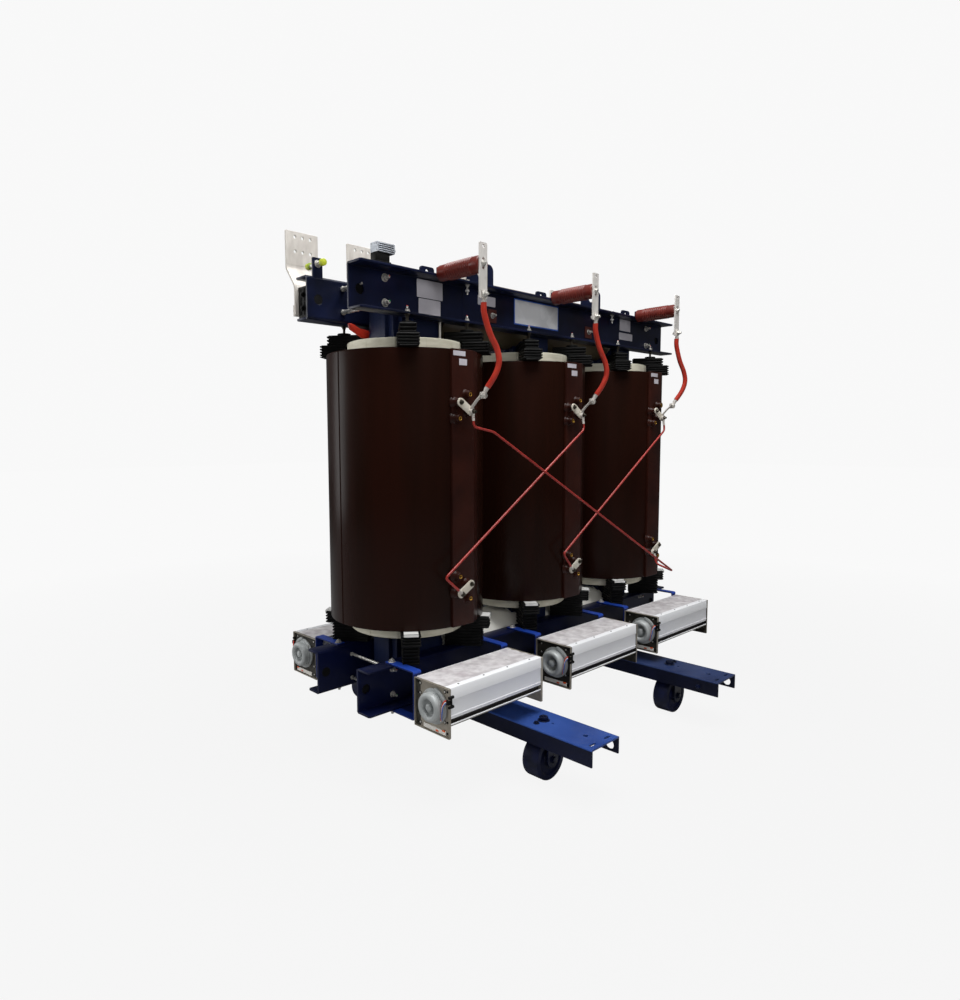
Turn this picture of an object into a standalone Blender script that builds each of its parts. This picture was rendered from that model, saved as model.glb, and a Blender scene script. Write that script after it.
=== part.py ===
# Three-phase cast-resin dry-type transformer on a rolling base, with cross-flow cooling fans
#
# +X runs along the row of coils, -Y is the high-voltage side, +Y the low-voltage side, +Z up.
# The origin is on the floor, in the middle of the four rollers.

import bpy
import bmesh
from math import cos, sin, pi, hypot
from mathutils import Vector

MM = 0.001

# Main sizes
SIDES = (-1, 1)
GAP = 0.3 * MM
BITE = 0.6 * MM

# Core: half widths of the lamination packs and the half depths that they reach
PACK_HALF_WIDTHS = (130 * MM, 115 * MM, 94 * MM, 62 * MM)
PACK_HALF_DEPTHS = (42 * MM, 73 * MM, 98 * MM, 122.5 * MM)
PACK_LAP = 1.0 * MM
YOKE_TOP_Z = 1760 * MM
YOKE_BOTTOM_Z = 358.5 * MM

# Coils
COIL_SIDES = 32
LV_SIDES = 24
LIMB_CLEARANCE = 21 * MM
LV_WALL = 69 * MM
DUCT = 25 * MM
HV_WALL = 55 * MM
LV_INNER = PACK_HALF_WIDTHS[0] + LIMB_CLEARANCE
LV_OUTER = LV_INNER + LV_WALL
HV_INNER = LV_OUTER + DUCT
HV_OUTER = HV_INNER + HV_WALL
COILS_APART = 60 * MM
COIL_PITCH = 2 * HV_OUTER + COILS_APART
COIL_X = (-COIL_PITCH, 0.0, COIL_PITCH)
HV_LOW = 564 * MM
HV_HIGH = 1564 * MM
LV_PROUD_BELOW = 48 * MM
LV_PROUD_ABOVE = 44 * MM
LV_LOW = HV_LOW - LV_PROUD_BELOW
LV_HIGH = HV_HIGH + LV_PROUD_ABOVE
PANEL_FROM_FACE = ((-42, 30), (-42, -7), (63, -7), (112, 22), (96, 38))
BOSS_RADIUS = 14 * MM
BOSS_SUNK = 4 * MM
BOSS_PROUD = 30 * MM
BOSS_BACK = BOSS_SUNK - HV_OUTER
BOSS_FACE = -HV_OUTER - BOSS_PROUD
BOSS_SIDES = 8
BOSS_LEFT_X = -26.4 * MM
BOSS_RIGHT_X = 24.8 * MM
TOP_LEFT_BOSSES_Z = (1376 * MM, 1319 * MM)
TOP_RIGHT_BOSSES_Z = (1343.5 * MM, 1405 * MM)
BOTTOM_LEFT_BOSSES_Z = (691.7 * MM, 753.8 * MM)
BOTTOM_RIGHT_BOSSES_Z = (720.7 * MM, 667.0 * MM)
LINK_THICK = 5 * MM
LINK_FACE = BOSS_FACE - LINK_THICK
LINK_RADIUS = 15 * MM
STUD_RADIUS = 5 * MM
NUT_RADIUS = 9.5 * MM
SHORT_STUD_PROUD = 8 * MM
LONG_STUD_PROUD = 18 * MM
SHORT_STUD_END = LINK_FACE - SHORT_STUD_PROUD
LONG_STUD_END = LINK_FACE - LONG_STUD_PROUD
NUT_THICK = 7 * MM
STUD_PROUD = 1 * MM
EYE_RADIUS = 11 * MM
EYE_HOLE = 6.2 * MM
EYE_THICKNESS = 5 * MM

# Clamps: pressed channels with their flanges outwards
TIE_TOP_PAST_COIL = 200 * MM
TIE_TOP_X = COIL_PITCH + TIE_TOP_PAST_COIL
TOP_CLAMP_PAST_TIE = 154.7 * MM
TOP_CLAMP_HALF = TIE_TOP_X + TOP_CLAMP_PAST_TIE
TOP_CLAMP_LOW = 1683 * MM
TOP_CLAMP_HIGH = 1840 * MM
TOP_WEB_IN = 122.8 * MM
TOP_WEB_THICK = 8.2 * MM
TOP_WEB_OUT = TOP_WEB_IN + TOP_WEB_THICK
TOP_FLANGE_TIP = 200 * MM
TIE_BOTTOM_PAST_COIL = 188 * MM
TIE_BOTTOM_X = COIL_PITCH + TIE_BOTTOM_PAST_COIL
BOTTOM_CLAMP_PAST_TIE = 154.5 * MM
BOTTOM_CLAMP_HALF = TIE_BOTTOM_X + BOTTOM_CLAMP_PAST_TIE
BOTTOM_CLAMP_LOW = 276.5 * MM
BOTTOM_CLAMP_HIGH = 440.6 * MM
BOTTOM_WEB_IN = 122.8 * MM
BOTTOM_WEB_THICK = 9.2 * MM
BOTTOM_WEB_OUT = BOTTOM_WEB_IN + BOTTOM_WEB_THICK
BOTTOM_FLANGE_TIP = 195 * MM
FLANGE_THICK = 8 * MM
TOP_END_HOLE_IN = 47.7 * MM
BOTTOM_END_HOLE_IN = 35.5 * MM
END_HOLE_RADIUS = 18 * MM
TOP_END_HOLE_Z = 1757 * MM
BOTTOM_END_HOLE_Z = 358 * MM
TIE_TOP_Z = (1809 * MM, 1723 * MM)
TIE_BOTTOM_Z = (404 * MM, 309 * MM)
TIE_RADIUS = 8 * MM
TIE_HOLE = 10.0 * MM
TIE_NUT = 14 * MM
TIE_NUT_THICK = 13 * MM
TIE_END = 158 * MM
TIE_SIDES = 6

# Support blocks, set on the diagonals of each coil
BLOCK_X = 148 * MM
BLOCK_Y = 190 * MM
BLOCK_HALF_WIDTH = 40 * MM
BLOCK_IN = 5 * MM
BLOCK_DUCT_IN = 6 * MM
BLOCK_PROUD = 26 * MM
BLOCK_START = LV_INNER + BLOCK_IN
BLOCK_STEP = LV_OUTER + BLOCK_DUCT_IN
BLOCK_SHOULDER = HV_OUTER
BLOCK_END = HV_OUTER + BLOCK_PROUD
BLOCK_BELOW_CLAMP = 35 * MM
BLOCK_TOP = TOP_CLAMP_LOW - BLOCK_BELOW_CLAMP
JACK_RADIUS = 6 * MM
JACK_NUT = 10 * MM
JACK_NUT_THICK = 11 * MM

# Lugs, brackets and small plates on the clamps
LIFT_LUG_X = 375 * MM
LIFT_LUG_HALF = 75 * MM
LIFT_LUG_TOP = 1941 * MM
LIFT_LUG_CORNER = 26 * MM
LIFT_HOLE_RADIUS = 20 * MM
LIFT_HOLE_Z = 1902 * MM
EYE_LUG_SHIFT = -10 * MM
EYE_LUG_HALF = 33 * MM
EYE_LUG_TOP = 1866 * MM
EYE_LUG_HOLE = 8 * MM
EYE_LUG_HOLE_Z = 1853 * MM
EYE_LUG_IN = 136 * MM
EYE_LUG_OUT = 144 * MM
EARTH_IN = 26.7 * MM
EARTH_WIDE = 42 * MM
EARTH_X = (EARTH_IN - TOP_CLAMP_HALF, EARTH_IN + EARTH_WIDE - TOP_CLAMP_HALF)
EARTH_TOP = 1906 * MM
EARTH_STUD_Z = 1884 * MM
EARTH_STUD = (82 * MM, 188 * MM)
EARTH_STUD_RADIUS = 8 * MM
PAD_X = ((-340 * MM, -286 * MM), (322 * MM, 376 * MM))
PAD_Z = (1713 * MM, 1769 * MM)
PAD_THICK = 4 * MM
PAD_BOLT_RADIUS = 9 * MM
PAD_BOLT_LONG = 22 * MM
NAMEPLATE_X = (-176 * MM, 122 * MM)
NAMEPLATE_Z = (1723 * MM, 1829 * MM)
NAMEPLATE_THICK = 2 * MM

# High-voltage insulators, bars, leads and delta rods
BAR_X = 7 * MM
INSULATOR_Z = 1842 * MM
INSULATOR_RADIUS = 29 * MM
INSULATOR_RIB = 31.5 * MM
INSULATOR_SIDES = 10
INSULATOR_RIBS = 4
BRACKET_HALF = 20 * MM
BRACKET_Z = (1828 * MM, 1864 * MM)
BRACKET_Y = (-194.5 * MM, -202.5 * MM)
BAR_PAST_COIL = 105 * MM
BAR_THICK = 5 * MM
BAR_BACK = -HV_OUTER - BAR_PAST_COIL
BAR_FACE = BAR_BACK - BAR_THICK
BAR_HALF = 19 * MM
BAR_LOW = 1725 * MM
BAR_HIGH = 1911 * MM
BAR_HOLES_Z = (1899 * MM, 1856 * MM, 1827 * MM)
BAR_HOLE_RADIUS = 5.5 * MM
LEAD_RADIUS = 10.5 * MM
LEAD_SIDES = 6
LEAD_ROUTE = (
    (10, -408, 1716), (13, -408, 1676), (34, -414, 1612), (62, -422, 1559),
    (70, -425, 1514), (60, -414, 1467), (38, -382, 1408),
)
LEAD_TAIL = ((38, -382, 1408), (32, -363, 1384), (25, -338, 1366))
LEAD_TAIL_RADIUS = 5 * MM
LEAD_EYE_TAB_HALF = 6 * MM
LEAD_EYE_TAB_Z = (1346 * MM, 1372 * MM)
LEAD_TAB_HALF = 11 * MM
LEAD_TAB_Z = (1703 * MM, 1750 * MM)
ROD_RADIUS = 4.5 * MM
ROD_SIDES = 6
ROD_BEND = 16 * MM
ROD_TAB_HALF = 5 * MM
ROD_TAB_Z = (1322 * MM, 1337 * MM)
ROD_LEFT_RIGHT = (
    ((24.8, -343.5, 1331), (23, -347, 1290), (115, -358, 1272)),
    ((-30, -440, 612), (-28, -352, 636), (-26.4, -341, 683)),
)
ROD_MIDDLE_LEFT = (
    ((24.8, -343.5, 1331), (26, -348, 1284)),
    ((-118, -347, 764), (-34, -341, 698)),
)
ROD_RIGHT_MIDDLE = (
    ((24.8, -343.5, 1331), (26, -348, 1283)),
    ((-105, -347, 770), (-34, -341, 698)),
)

# Low-voltage bars
LV_BAR_HALF = 71 * MM
LV_BAR_THICK = 8 * MM
LV_SHIFT = 20 * MM
LV_PHASES = tuple((name, x + LV_SHIFT) for name, x in zip('abc', COIL_X))
LV_STAND_HALF = 42 * MM
STAND_CLEAR_OF_NUT = 6 * MM
LV_NEUTRAL_X = -TIE_TOP_X - TIE_NUT - STAND_CLEAR_OF_NUT - LV_STAND_HALF
LV_RISER_Y = 243 * MM
LV_BAR_BACK = LV_RISER_Y - LV_BAR_THICK / 2
LV_PROFILE = ((216, 1608.3), (216, 1636), (243, 1660), (243, 1822), (300, 1896), (300, 2038))
LV_NEUTRAL_PROFILE = ((243, 1711), (243, 1822), (300, 1896), (300, 2038))
LV_HOLES_X = (-31 * MM, 3 * MM, 37 * MM)
LV_HOLES_Z = (2018 * MM, 1964 * MM)
LV_HOLE_RADIUS = 6.5 * MM
NEUTRAL_BAR_Z = (1711 * MM, 1751 * MM)
NEUTRAL_BAR_Y = (250 * MM, 256 * MM)
NEUTRAL_BAR_PAST = 20 * MM
NEUTRAL_BAR_END = LV_PHASES[-1][1] + NEUTRAL_BAR_PAST
LV_STAND_Z = (1700 * MM, 1816 * MM)

# Base rails, forks and rollers
RAIL_X = 457 * MM
RAIL_HALF_WIDTH = 82.5 * MM
RAIL_PAST_ROLLER = 268 * MM
RAIL_LOW = 152.3 * MM
RAIL_HIGH = 215.1 * MM
RAIL_THICK = 7 * MM
ROLLER_Y = 530 * MM
RAIL_HALF = ROLLER_Y + RAIL_PAST_ROLLER
ROLLER_Z = 80 * MM
ROLLER_RADIUS = 80 * MM
ROLLER_HALF = 35 * MM
ROLLER_SIDES = 16
AXLE_RADIUS = 12.5 * MM
AXLE_SIDES = 10
ROLLER_BORE = 13.1 * MM
ROLLER_HUB = 24 * MM
ROLLER_RIM = 18 * MM
ROLLER_DISH = 8 * MM
CHEEK_IN = 38 * MM
CHEEK_OUT = 46 * MM
CHEEK_HALF = 30 * MM
CHEEK_LOW = 48 * MM
PIVOT_NUT = 17 * MM
PIVOT_NUT_HIGH = 229 * MM
SMALL_BOLT = 8 * MM
SMALL_BOLT_HIGH = 222 * MM
SMALL_BOLT_SHIFT = 42 * MM
RAIL_HOLE_IN = 83 * MM
RAIL_HOLE_RADIUS = 9 * MM
RAIL_SMALL_HOLE_PAST = 42 * MM
RAIL_SMALL_HOLE_RADIUS = 5 * MM
RAIL_SLOT_IN = 24 * MM
RAIL_SLOT_X = 43 * MM
RAIL_SLOT_HALF = 12 * MM
RAIL_SLOT_RADIUS = 5 * MM
RAIL_SIDE_HOLE_IN = 35 * MM
RAIL_SIDE_HOLE_Z = 176 * MM
RAIL_SIDE_HOLE_RADIUS = 17 * MM
RAIL_SIDE_BOLT_IN = 88 * MM
FOOT_SHIFT = 8 * MM
FOOT_LONG = 70 * MM
FOOT_X = (RAIL_X + FOOT_SHIFT, RAIL_X + FOOT_SHIFT + FOOT_LONG)
FOOT_Y = (126 * MM, 190 * MM)

# Fans
FAN_X = (-233.7 * MM, 255.4 * MM)
FAN_BACK = 308.7 * MM
FAN_FRONT = 482.7 * MM
FAN_LOW = 259.4 * MM
FAN_HIGH = 430 * MM
FAN_PAN = 10 * MM
FAN_PLATE = 3 * MM
FAN_RIM = 3 * MM
FAN_AXIS_Y = 405 * MM
FAN_AXIS_Z = 352 * MM
FAN_FRONT_WALL = (
    (456, 431.5), (479, 431.5), (481.6, 389), (478, 330), (480, 308),
    (474, 299.5), (440, 299.5), (440, 303), (474, 303), (475, 330), (478.4, 389), (476, 428.5), (456, 428.5),
)
FAN_BACK_WALL = (
    (318, 431.5), (314.5, 431.5), (326, 403), (341, 384), (360, 369.5), (362, 372), (344, 386.5), (329.5, 405),
)
FAN_CURL = ((440, 301), (418, 297), (392, 300), (371, 308), (371, 311), (392, 303), (418, 300.2), (442, 304))
MOTOR_RADIUS = 50 * MM
MOTOR_LONG = 36 * MM
MOTOR_HUB = 13 * MM
MOTOR_STEP = 5 * MM
MOTOR_SIDES = 12
SHAFT_RADIUS = 6 * MM
SHAFT_HOLE = 7.3 * MM
SHAFT_SIDES = 6
DRUM_RADIUS = 41 * MM
DRUM_INNER = 31 * MM
DRUM_CLEAR = 6 * MM
DRUM_DISC = 3 * MM
DRUM_SIDES = 10
BLADES = 8
BLADE_THICK = 1.6 * MM
BLADE_LEAN_SHARE = 0.35
STRAP_LEFT = (-235 * MM, -200 * MM)
STRAP_RIGHT = (216 * MM, 251 * MM)
STRAP_ROOT = 140 * MM
STRAP_THICK = 5.6 * MM
STRAP_FACE = 308.2 * MM
STRAP_BOLT_Y = 168 * MM
STRAP_BOLT_RADIUS = 9 * MM
STRAP_BOLT_THICK = 8 * MM

# Sensor terminal box on its bracket
SENSOR_IN = 71.7 * MM
SENSOR_LONG = 67 * MM
SENSOR_X = (SENSOR_IN - TOP_CLAMP_HALF, SENSOR_IN + SENSOR_LONG - TOP_CLAMP_HALF)
SENSOR_Y = (-200 * MM, -158 * MM)
SENSOR_Z = (1873 * MM, 1906 * MM)
SENSOR_FOOT_IN = 70.7 * MM
SENSOR_FOOT_LONG = 56 * MM
SENSOR_FOOT_X = (SENSOR_FOOT_IN - TOP_CLAMP_HALF, SENSOR_FOOT_IN + SENSOR_FOOT_LONG - TOP_CLAMP_HALF)
SENSOR_FOOT_Y = (-196 * MM, -162 * MM)
SENSOR_FINS = 4
SENSOR_FIN_SHARE = 0.45
SENSOR_FIN_DEPTH = 3 * MM
GLAND_RADIUS = 8 * MM
GLAND_LONG = 15 * MM


for old in list(bpy.data.objects):
    bpy.data.objects.remove(old)

model = bpy.data.collections.new('dry_type_transformer')
bpy.context.scene.collection.children.link(model)


def closed_object(points, faces):
    """A closed mesh object with its faces turned outwards."""
    mesh = bpy.data.meshes.new('solid')
    mesh.from_pydata([tuple(p) for p in points], [], faces)
    shape = bmesh.new()
    shape.from_mesh(mesh)
    bmesh.ops.recalc_face_normals(shape, faces=shape.faces)
    shape.to_mesh(mesh)
    shape.free()
    return bpy.data.objects.new('solid', mesh)


def stretched(ring_low, ring_high):
    """The solid between two equal rings of points."""
    count = len(ring_low)
    faces = [tuple(range(count))[::-1], tuple(range(count, 2 * count))]
    for i in range(count):
        j = (i + 1) % count
        faces.append((i, j, count + j, count + i))
    return closed_object(list(ring_low) + list(ring_high), faces)


def block(x, y, z):
    """A box between two values on each axis."""
    low = [(x[0], y[0]), (x[1], y[0]), (x[1], y[1]), (x[0], y[1])]
    return stretched([(a, b, z[0]) for a, b in low], [(a, b, z[1]) for a, b in low])


def prism(outline, axis, start, end):
    """An outline stretched along one axis. Along X it holds (y, z), along Y (x, z), along Z (x, y)."""
    def place(p, along):
        if axis == 'X':
            return (along, p[0], p[1])
        if axis == 'Y':
            return (p[0], along, p[1])
        return (p[0], p[1], along)
    return stretched([place(p, start) for p in outline], [place(p, end) for p in outline])


def round_bar(start, end, radius, sides, turn=0.0):
    """A straight round bar between two points."""
    start = Vector(start)
    end = Vector(end)
    along = (end - start).normalized()
    side = Vector((0, 0, 1)).cross(along)
    side = Vector((1, 0, 0)) if side.length < 0.01 else side.normalized()
    up = along.cross(side)
    rings = []
    for centre in (start, end):
        ring = []
        for i in range(sides):
            angle = turn + 2 * pi * i / sides
            ring.append(centre + side * (radius * cos(angle)) + up * (radius * sin(angle)))
        rings.append(ring)
    return stretched(rings[0], rings[1])


def turned(profile, place, sides):
    """A closed profile of (radius, along) turned round an axis. place puts (a, b, along) in space."""
    points = []
    for radius, along in profile:
        for i in range(sides):
            angle = 2 * pi * i / sides
            points.append(place(radius * cos(angle), radius * sin(angle), along))
    rows = len(profile)
    faces = []
    for row in range(rows):
        below = (row + 1) % rows
        for i in range(sides):
            j = (i + 1) % sides
            faces.append((row * sides + i, row * sides + j, below * sides + j, below * sides + i))
    return closed_object(points, faces)


def turned_solid(profile, place, sides):
    """An open profile of (radius, along) turned round an axis, with flat ends."""
    points = []
    for radius, along in profile:
        for i in range(sides):
            angle = 2 * pi * i / sides
            points.append(place(radius * cos(angle), radius * sin(angle), along))
    rows = len(profile)
    faces = [tuple(range(sides)), tuple(range((rows - 1) * sides, rows * sides))]
    for row in range(rows - 1):
        for i in range(sides):
            j = (i + 1) % sides
            faces.append((row * sides + i, row * sides + j, (row + 1) * sides + j, (row + 1) * sides + i))
    return closed_object(points, faces)


def swept(route, radius, sides):
    """A round cable or rod along a route of points."""
    route = [Vector(p) for p in route]
    ways = []
    for i in range(len(route)):
        before = route[max(i - 1, 0)]
        after = route[min(i + 1, len(route) - 1)]
        ways.append((after - before).normalized())
    side = ways[0].orthogonal().normalized()
    points = []
    for centre, way in zip(route, ways):
        side = (side - way * side.dot(way)).normalized()
        up = way.cross(side)
        for i in range(sides):
            angle = 2 * pi * i / sides
            points.append(centre + side * (radius * cos(angle)) + up * (radius * sin(angle)))
    rows = len(route)
    faces = [tuple(range(sides)), tuple(range((rows - 1) * sides, rows * sides))]
    for row in range(rows - 1):
        for i in range(sides):
            j = (i + 1) % sides
            faces.append((row * sides + i, row * sides + j, (row + 1) * sides + j, (row + 1) * sides + i))
    return closed_object(points, faces)


def softened(route, bend, steps=3):
    """The route with each corner replaced by a short curve."""
    route = [Vector(p) for p in route]
    out = [route[0]]
    for before, corner, after in zip(route, route[1:], route[2:]):
        reach_in = min(bend, (corner - before).length * 0.45)
        reach_out = min(bend, (after - corner).length * 0.45)
        first = corner + (before - corner).normalized() * reach_in
        last = corner + (after - corner).normalized() * reach_out
        for i in range(steps + 1):
            t = i / steps
            out.append(first * ((1 - t) * (1 - t)) + corner * (2 * t * (1 - t)) + last * (t * t))
    out.append(route[-1])
    return out


def flowing(route, steps=3):
    """A smooth curve through every point of the route."""
    pts = [Vector(p) for p in route]
    pts = [pts[0] * 2 - pts[1]] + pts + [pts[-1] * 2 - pts[-2]]
    out = []
    for a, b, c, d in zip(pts, pts[1:], pts[2:], pts[3:]):
        for i in range(steps):
            t = i / steps
            out.append(
                (b * 2 + (c - a) * t + (a * 2 - b * 5 + c * 4 - d) * (t * t)
                 + (b * 3 - a - c * 3 + d) * (t * t * t)) * 0.5
            )
    out.append(pts[-2])
    return out


def metres(route):
    return [tuple(v * MM for v in p) for p in route]


def evaluated(obj):
    graph = bpy.context.evaluated_depsgraph_get()
    return bpy.data.meshes.new_from_object(obj.evaluated_get(graph))


def combine(base, others, operation):
    """Joins the others to the base, or cuts them from it, as one exact step."""
    if not others:
        return base
    group = bpy.data.collections.new('operands')
    bpy.context.scene.collection.children.link(group)
    for other in others:
        group.objects.link(other)
    bpy.context.scene.collection.objects.link(base)
    modifier = base.modifiers.new('join', 'BOOLEAN')
    modifier.operation = operation
    modifier.operand_type = 'COLLECTION'
    modifier.collection = group
    modifier.solver = 'EXACT'
    mesh = evaluated(base)
    for other in others:
        bpy.data.objects.remove(other)
    bpy.data.objects.remove(base)
    bpy.data.collections.remove(group)
    return bpy.data.objects.new('solid', mesh)


def node(name, solids, cuts=()):
    """One named piece of the object: the solids joined, less the cuts."""
    made = combine(solids[0], list(solids[1:]), 'UNION')
    made = combine(made, list(cuts), 'DIFFERENCE')
    shape = bmesh.new()
    shape.from_mesh(made.data)
    bmesh.ops.remove_doubles(shape, verts=shape.verts, dist=0.002 * MM)
    bmesh.ops.dissolve_limit(
        shape, angle_limit=0.002, verts=shape.verts, edges=shape.edges, delimit=set()
    )
    shape.to_mesh(made.data)
    shape.free()
    made.name = name
    made.data.name = name
    model.objects.link(made)
    return made


def upright(x, y, z, radius, sides, turn=0.0):
    """A vertical round bar at (x, y) between two heights."""
    return round_bar((x, y, z[0]), (x, y, z[1]), radius, sides, turn)


def across(x, y, z, radius, sides, turn=0.0):
    """A round bar along Y at (x, z) between two depths."""
    return round_bar((x, y[0], z), (x, y[1], z), radius, sides, turn)


def lengthwise(x, y, z, radius, sides, turn=0.0):
    """A round bar along X at (y, z) between two places."""
    return round_bar((x[0], y, z), (x[1], y, z), radius, sides, turn)


def sided(side, near, far):
    """Two depths on the front (-1) or the rear (1), in rising order."""
    return tuple(sorted((side * near, side * far)))


# Core


def core_yoke(name, centre):
    """Stepped yoke: each pack of laminations is as high as the limb pack it meets is wide."""
    packs = []
    for half, depth in zip(PACK_HALF_WIDTHS, PACK_HALF_DEPTHS):
        last = depth == PACK_HALF_DEPTHS[-1]
        reach = depth if last else depth - PACK_LAP - GAP
        end = COIL_PITCH + half
        packs.append(block((-end, end), (-reach, reach), (centre - half, centre + half)))
    return node(name, packs)


def core_limb(name, x):
    """Stepped limb, whose outer packs run on past the inner ones, up to the stepped yoke."""
    packs = []
    inner = 0.0
    for half, depth in zip(PACK_HALF_WIDTHS, PACK_HALF_DEPTHS):
        z = (YOKE_BOTTOM_Z + half + GAP, YOKE_TOP_Z - half - GAP)
        if inner == 0.0:
            packs.append(block((x - half, x + half), (-depth, depth), z))
        else:
            for side in SIDES:
                packs.append(block((x - half, x + half), sided(side, inner - PACK_LAP, depth), z))
        inner = depth
    return node(name, packs)


core_yoke('yoke_top', YOKE_TOP_Z)
core_yoke('yoke_bottom', YOKE_BOTTOM_Z)
for label, x in zip(('left', 'middle', 'right'), COIL_X):
    core_limb('limb_' + label, x)


# Coils


def ring(x, inner, outer, low, high, sides):
    def place(a, b, along):
        return (x + a, b, along)
    return turned(((outer, low), (outer, high), (inner, high), (inner, low)), place, sides)


def link_plate(x, left_z, right_z):
    """Flat strap with round ends between a left and a right boss."""
    left = Vector((x + BOSS_LEFT_X, left_z))
    right = Vector((x + BOSS_RIGHT_X, right_z))
    along = (right - left).normalized()
    up = Vector((-along.y, along.x))
    outline = []
    for centre, start in ((right, -0.5), (left, 0.5)):
        for i in range(4):
            angle = pi * (start + i / 3)
            outline.append(centre + along * (LINK_RADIUS * cos(angle)) + up * (LINK_RADIUS * sin(angle)))
    return prism([tuple(p) for p in outline], 'Y', LINK_FACE, BOSS_FACE + BITE)


def terminal_group(x, left_z, right_z, stud_on_left):
    """Four bosses, the link plate over two of them and its studs."""
    solids = []
    for shift, heights in ((BOSS_LEFT_X, left_z), (BOSS_RIGHT_X, right_z)):
        for z in heights:
            solids.append(across(x + shift, (BOSS_FACE, BOSS_BACK), z, BOSS_RADIUS, BOSS_SIDES))
    solids.append(link_plate(x, left_z[0], right_z[0]))
    for shift, z, long in ((BOSS_LEFT_X, left_z[0], stud_on_left), (BOSS_RIGHT_X, right_z[0], not stud_on_left)):
        end = LONG_STUD_END if long else SHORT_STUD_END
        face = end + NUT_THICK if long else LINK_FACE + BITE
        solids.append(across(x + shift, (end, face), z, NUT_RADIUS, 6))
        if long:
            solids.append(across(x + shift, (face - BITE, LINK_FACE + BITE), z, STUD_RADIUS, 6))
    return solids



for number, x in enumerate(COIL_X, 1):
    outline = [(x + a * MM, b * MM - HV_OUTER) for a, b in PANEL_FROM_FACE]
    panel = prism(outline, 'Z', HV_LOW + BITE, HV_HIGH - BITE)
    top = terminal_group(x, TOP_LEFT_BOSSES_Z, TOP_RIGHT_BOSSES_Z, False)
    bottom = terminal_group(x, BOTTOM_LEFT_BOSSES_Z, BOTTOM_RIGHT_BOSSES_Z, True)
    body = ring(x, HV_INNER, HV_OUTER, HV_LOW, HV_HIGH, COIL_SIDES)
    node('hv_coil_%d' % number, [body, panel] + top + bottom)
    node('lv_coil_%d' % number, [ring(x, LV_INNER, LV_OUTER, LV_LOW, LV_HIGH, LV_SIDES)])


# Clamps


def channel(side, half, web_in, web_out, tip, low, high):
    outline = [
        (web_in, low), (tip, low), (tip, low + FLANGE_THICK), (web_out, low + FLANGE_THICK),
        (web_out, high - FLANGE_THICK), (tip, high - FLANGE_THICK), (tip, high), (web_in, high),
    ]
    return prism([(side * y, z) for y, z in outline], 'X', -half, half)


def radial_box(x, direction, r, half_width, z):
    """A box whose length runs out from the coil's axis."""
    out = Vector(direction)
    flat = Vector((-out.y, out.x))
    centre = Vector((x, 0))
    corners = [centre + out * a + flat * b for a, b in (
        (r[0], -half_width), (r[1], -half_width), (r[1], half_width), (r[0], half_width)
    )]
    return stretched([(p.x, p.y, z[0]) for p in corners], [(p.x, p.y, z[1]) for p in corners])


def block_direction(side, hand):
    away = hypot(BLOCK_X, BLOCK_Y)
    return (hand * BLOCK_X / away, side * BLOCK_Y / away)


def top_blocks(side):
    solids = []
    for x in COIL_X:
        for hand in SIDES:
            way = block_direction(side, hand)
            for reach, z in (
                ((BLOCK_STEP, BLOCK_END), (HV_HIGH + GAP, LV_HIGH + GAP + BITE)),
                ((BLOCK_START, BLOCK_SHOULDER), (LV_HIGH + GAP, BLOCK_TOP)),
            ):
                solids.append(radial_box(x, way, reach, BLOCK_HALF_WIDTH, z))
            jack = (x + hand * BLOCK_X, side * BLOCK_Y)
            solids.append(upright(*jack, (BLOCK_TOP - BITE, TOP_CLAMP_LOW + BITE), JACK_RADIUS, 6))
            top = TOP_CLAMP_LOW + FLANGE_THICK
            solids.append(upright(*jack, (top - BITE, top + JACK_NUT_THICK), JACK_NUT, 6))
    return solids


def bottom_blocks(side):
    solids = []
    for x in COIL_X:
        for hand in SIDES:
            way = block_direction(side, hand)
            for reach, z in (
                ((BLOCK_START, BLOCK_SHOULDER), (BOTTOM_CLAMP_HIGH - BITE, LV_LOW - GAP)),
                ((BLOCK_STEP, BLOCK_END), (LV_LOW - GAP - BITE, HV_LOW - GAP)),
            ):
                solids.append(radial_box(x, way, reach, BLOCK_HALF_WIDTH, z))
    return solids


def lifting_lug(side, x):
    reach = LIFT_LUG_HALF
    cut = LIFT_LUG_CORNER
    root = TOP_CLAMP_HIGH - FLANGE_THICK
    outline = [
        (x - reach, root), (x + reach, root), (x + reach, LIFT_LUG_TOP - cut),
        (x + reach - cut, LIFT_LUG_TOP), (x - reach + cut, LIFT_LUG_TOP), (x - reach, LIFT_LUG_TOP - cut),
    ]
    depth = sided(side, TOP_WEB_IN + BITE, TOP_WEB_OUT - BITE)
    return prism(outline, 'Y', depth[0], depth[1])


def eye_lug(side, x):
    outline = [
        (x - EYE_LUG_HALF, TOP_CLAMP_HIGH - BITE), (x + EYE_LUG_HALF, TOP_CLAMP_HIGH - BITE),
        (x + EYE_LUG_HALF, EYE_LUG_HOLE_Z), (x + EYE_LUG_HALF / 2, EYE_LUG_TOP),
        (x - EYE_LUG_HALF / 2, EYE_LUG_TOP), (x - EYE_LUG_HALF, EYE_LUG_HOLE_Z),
    ]
    depth = sided(side, EYE_LUG_IN, EYE_LUG_OUT)
    return prism(outline, 'Y', depth[0], depth[1])


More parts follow.
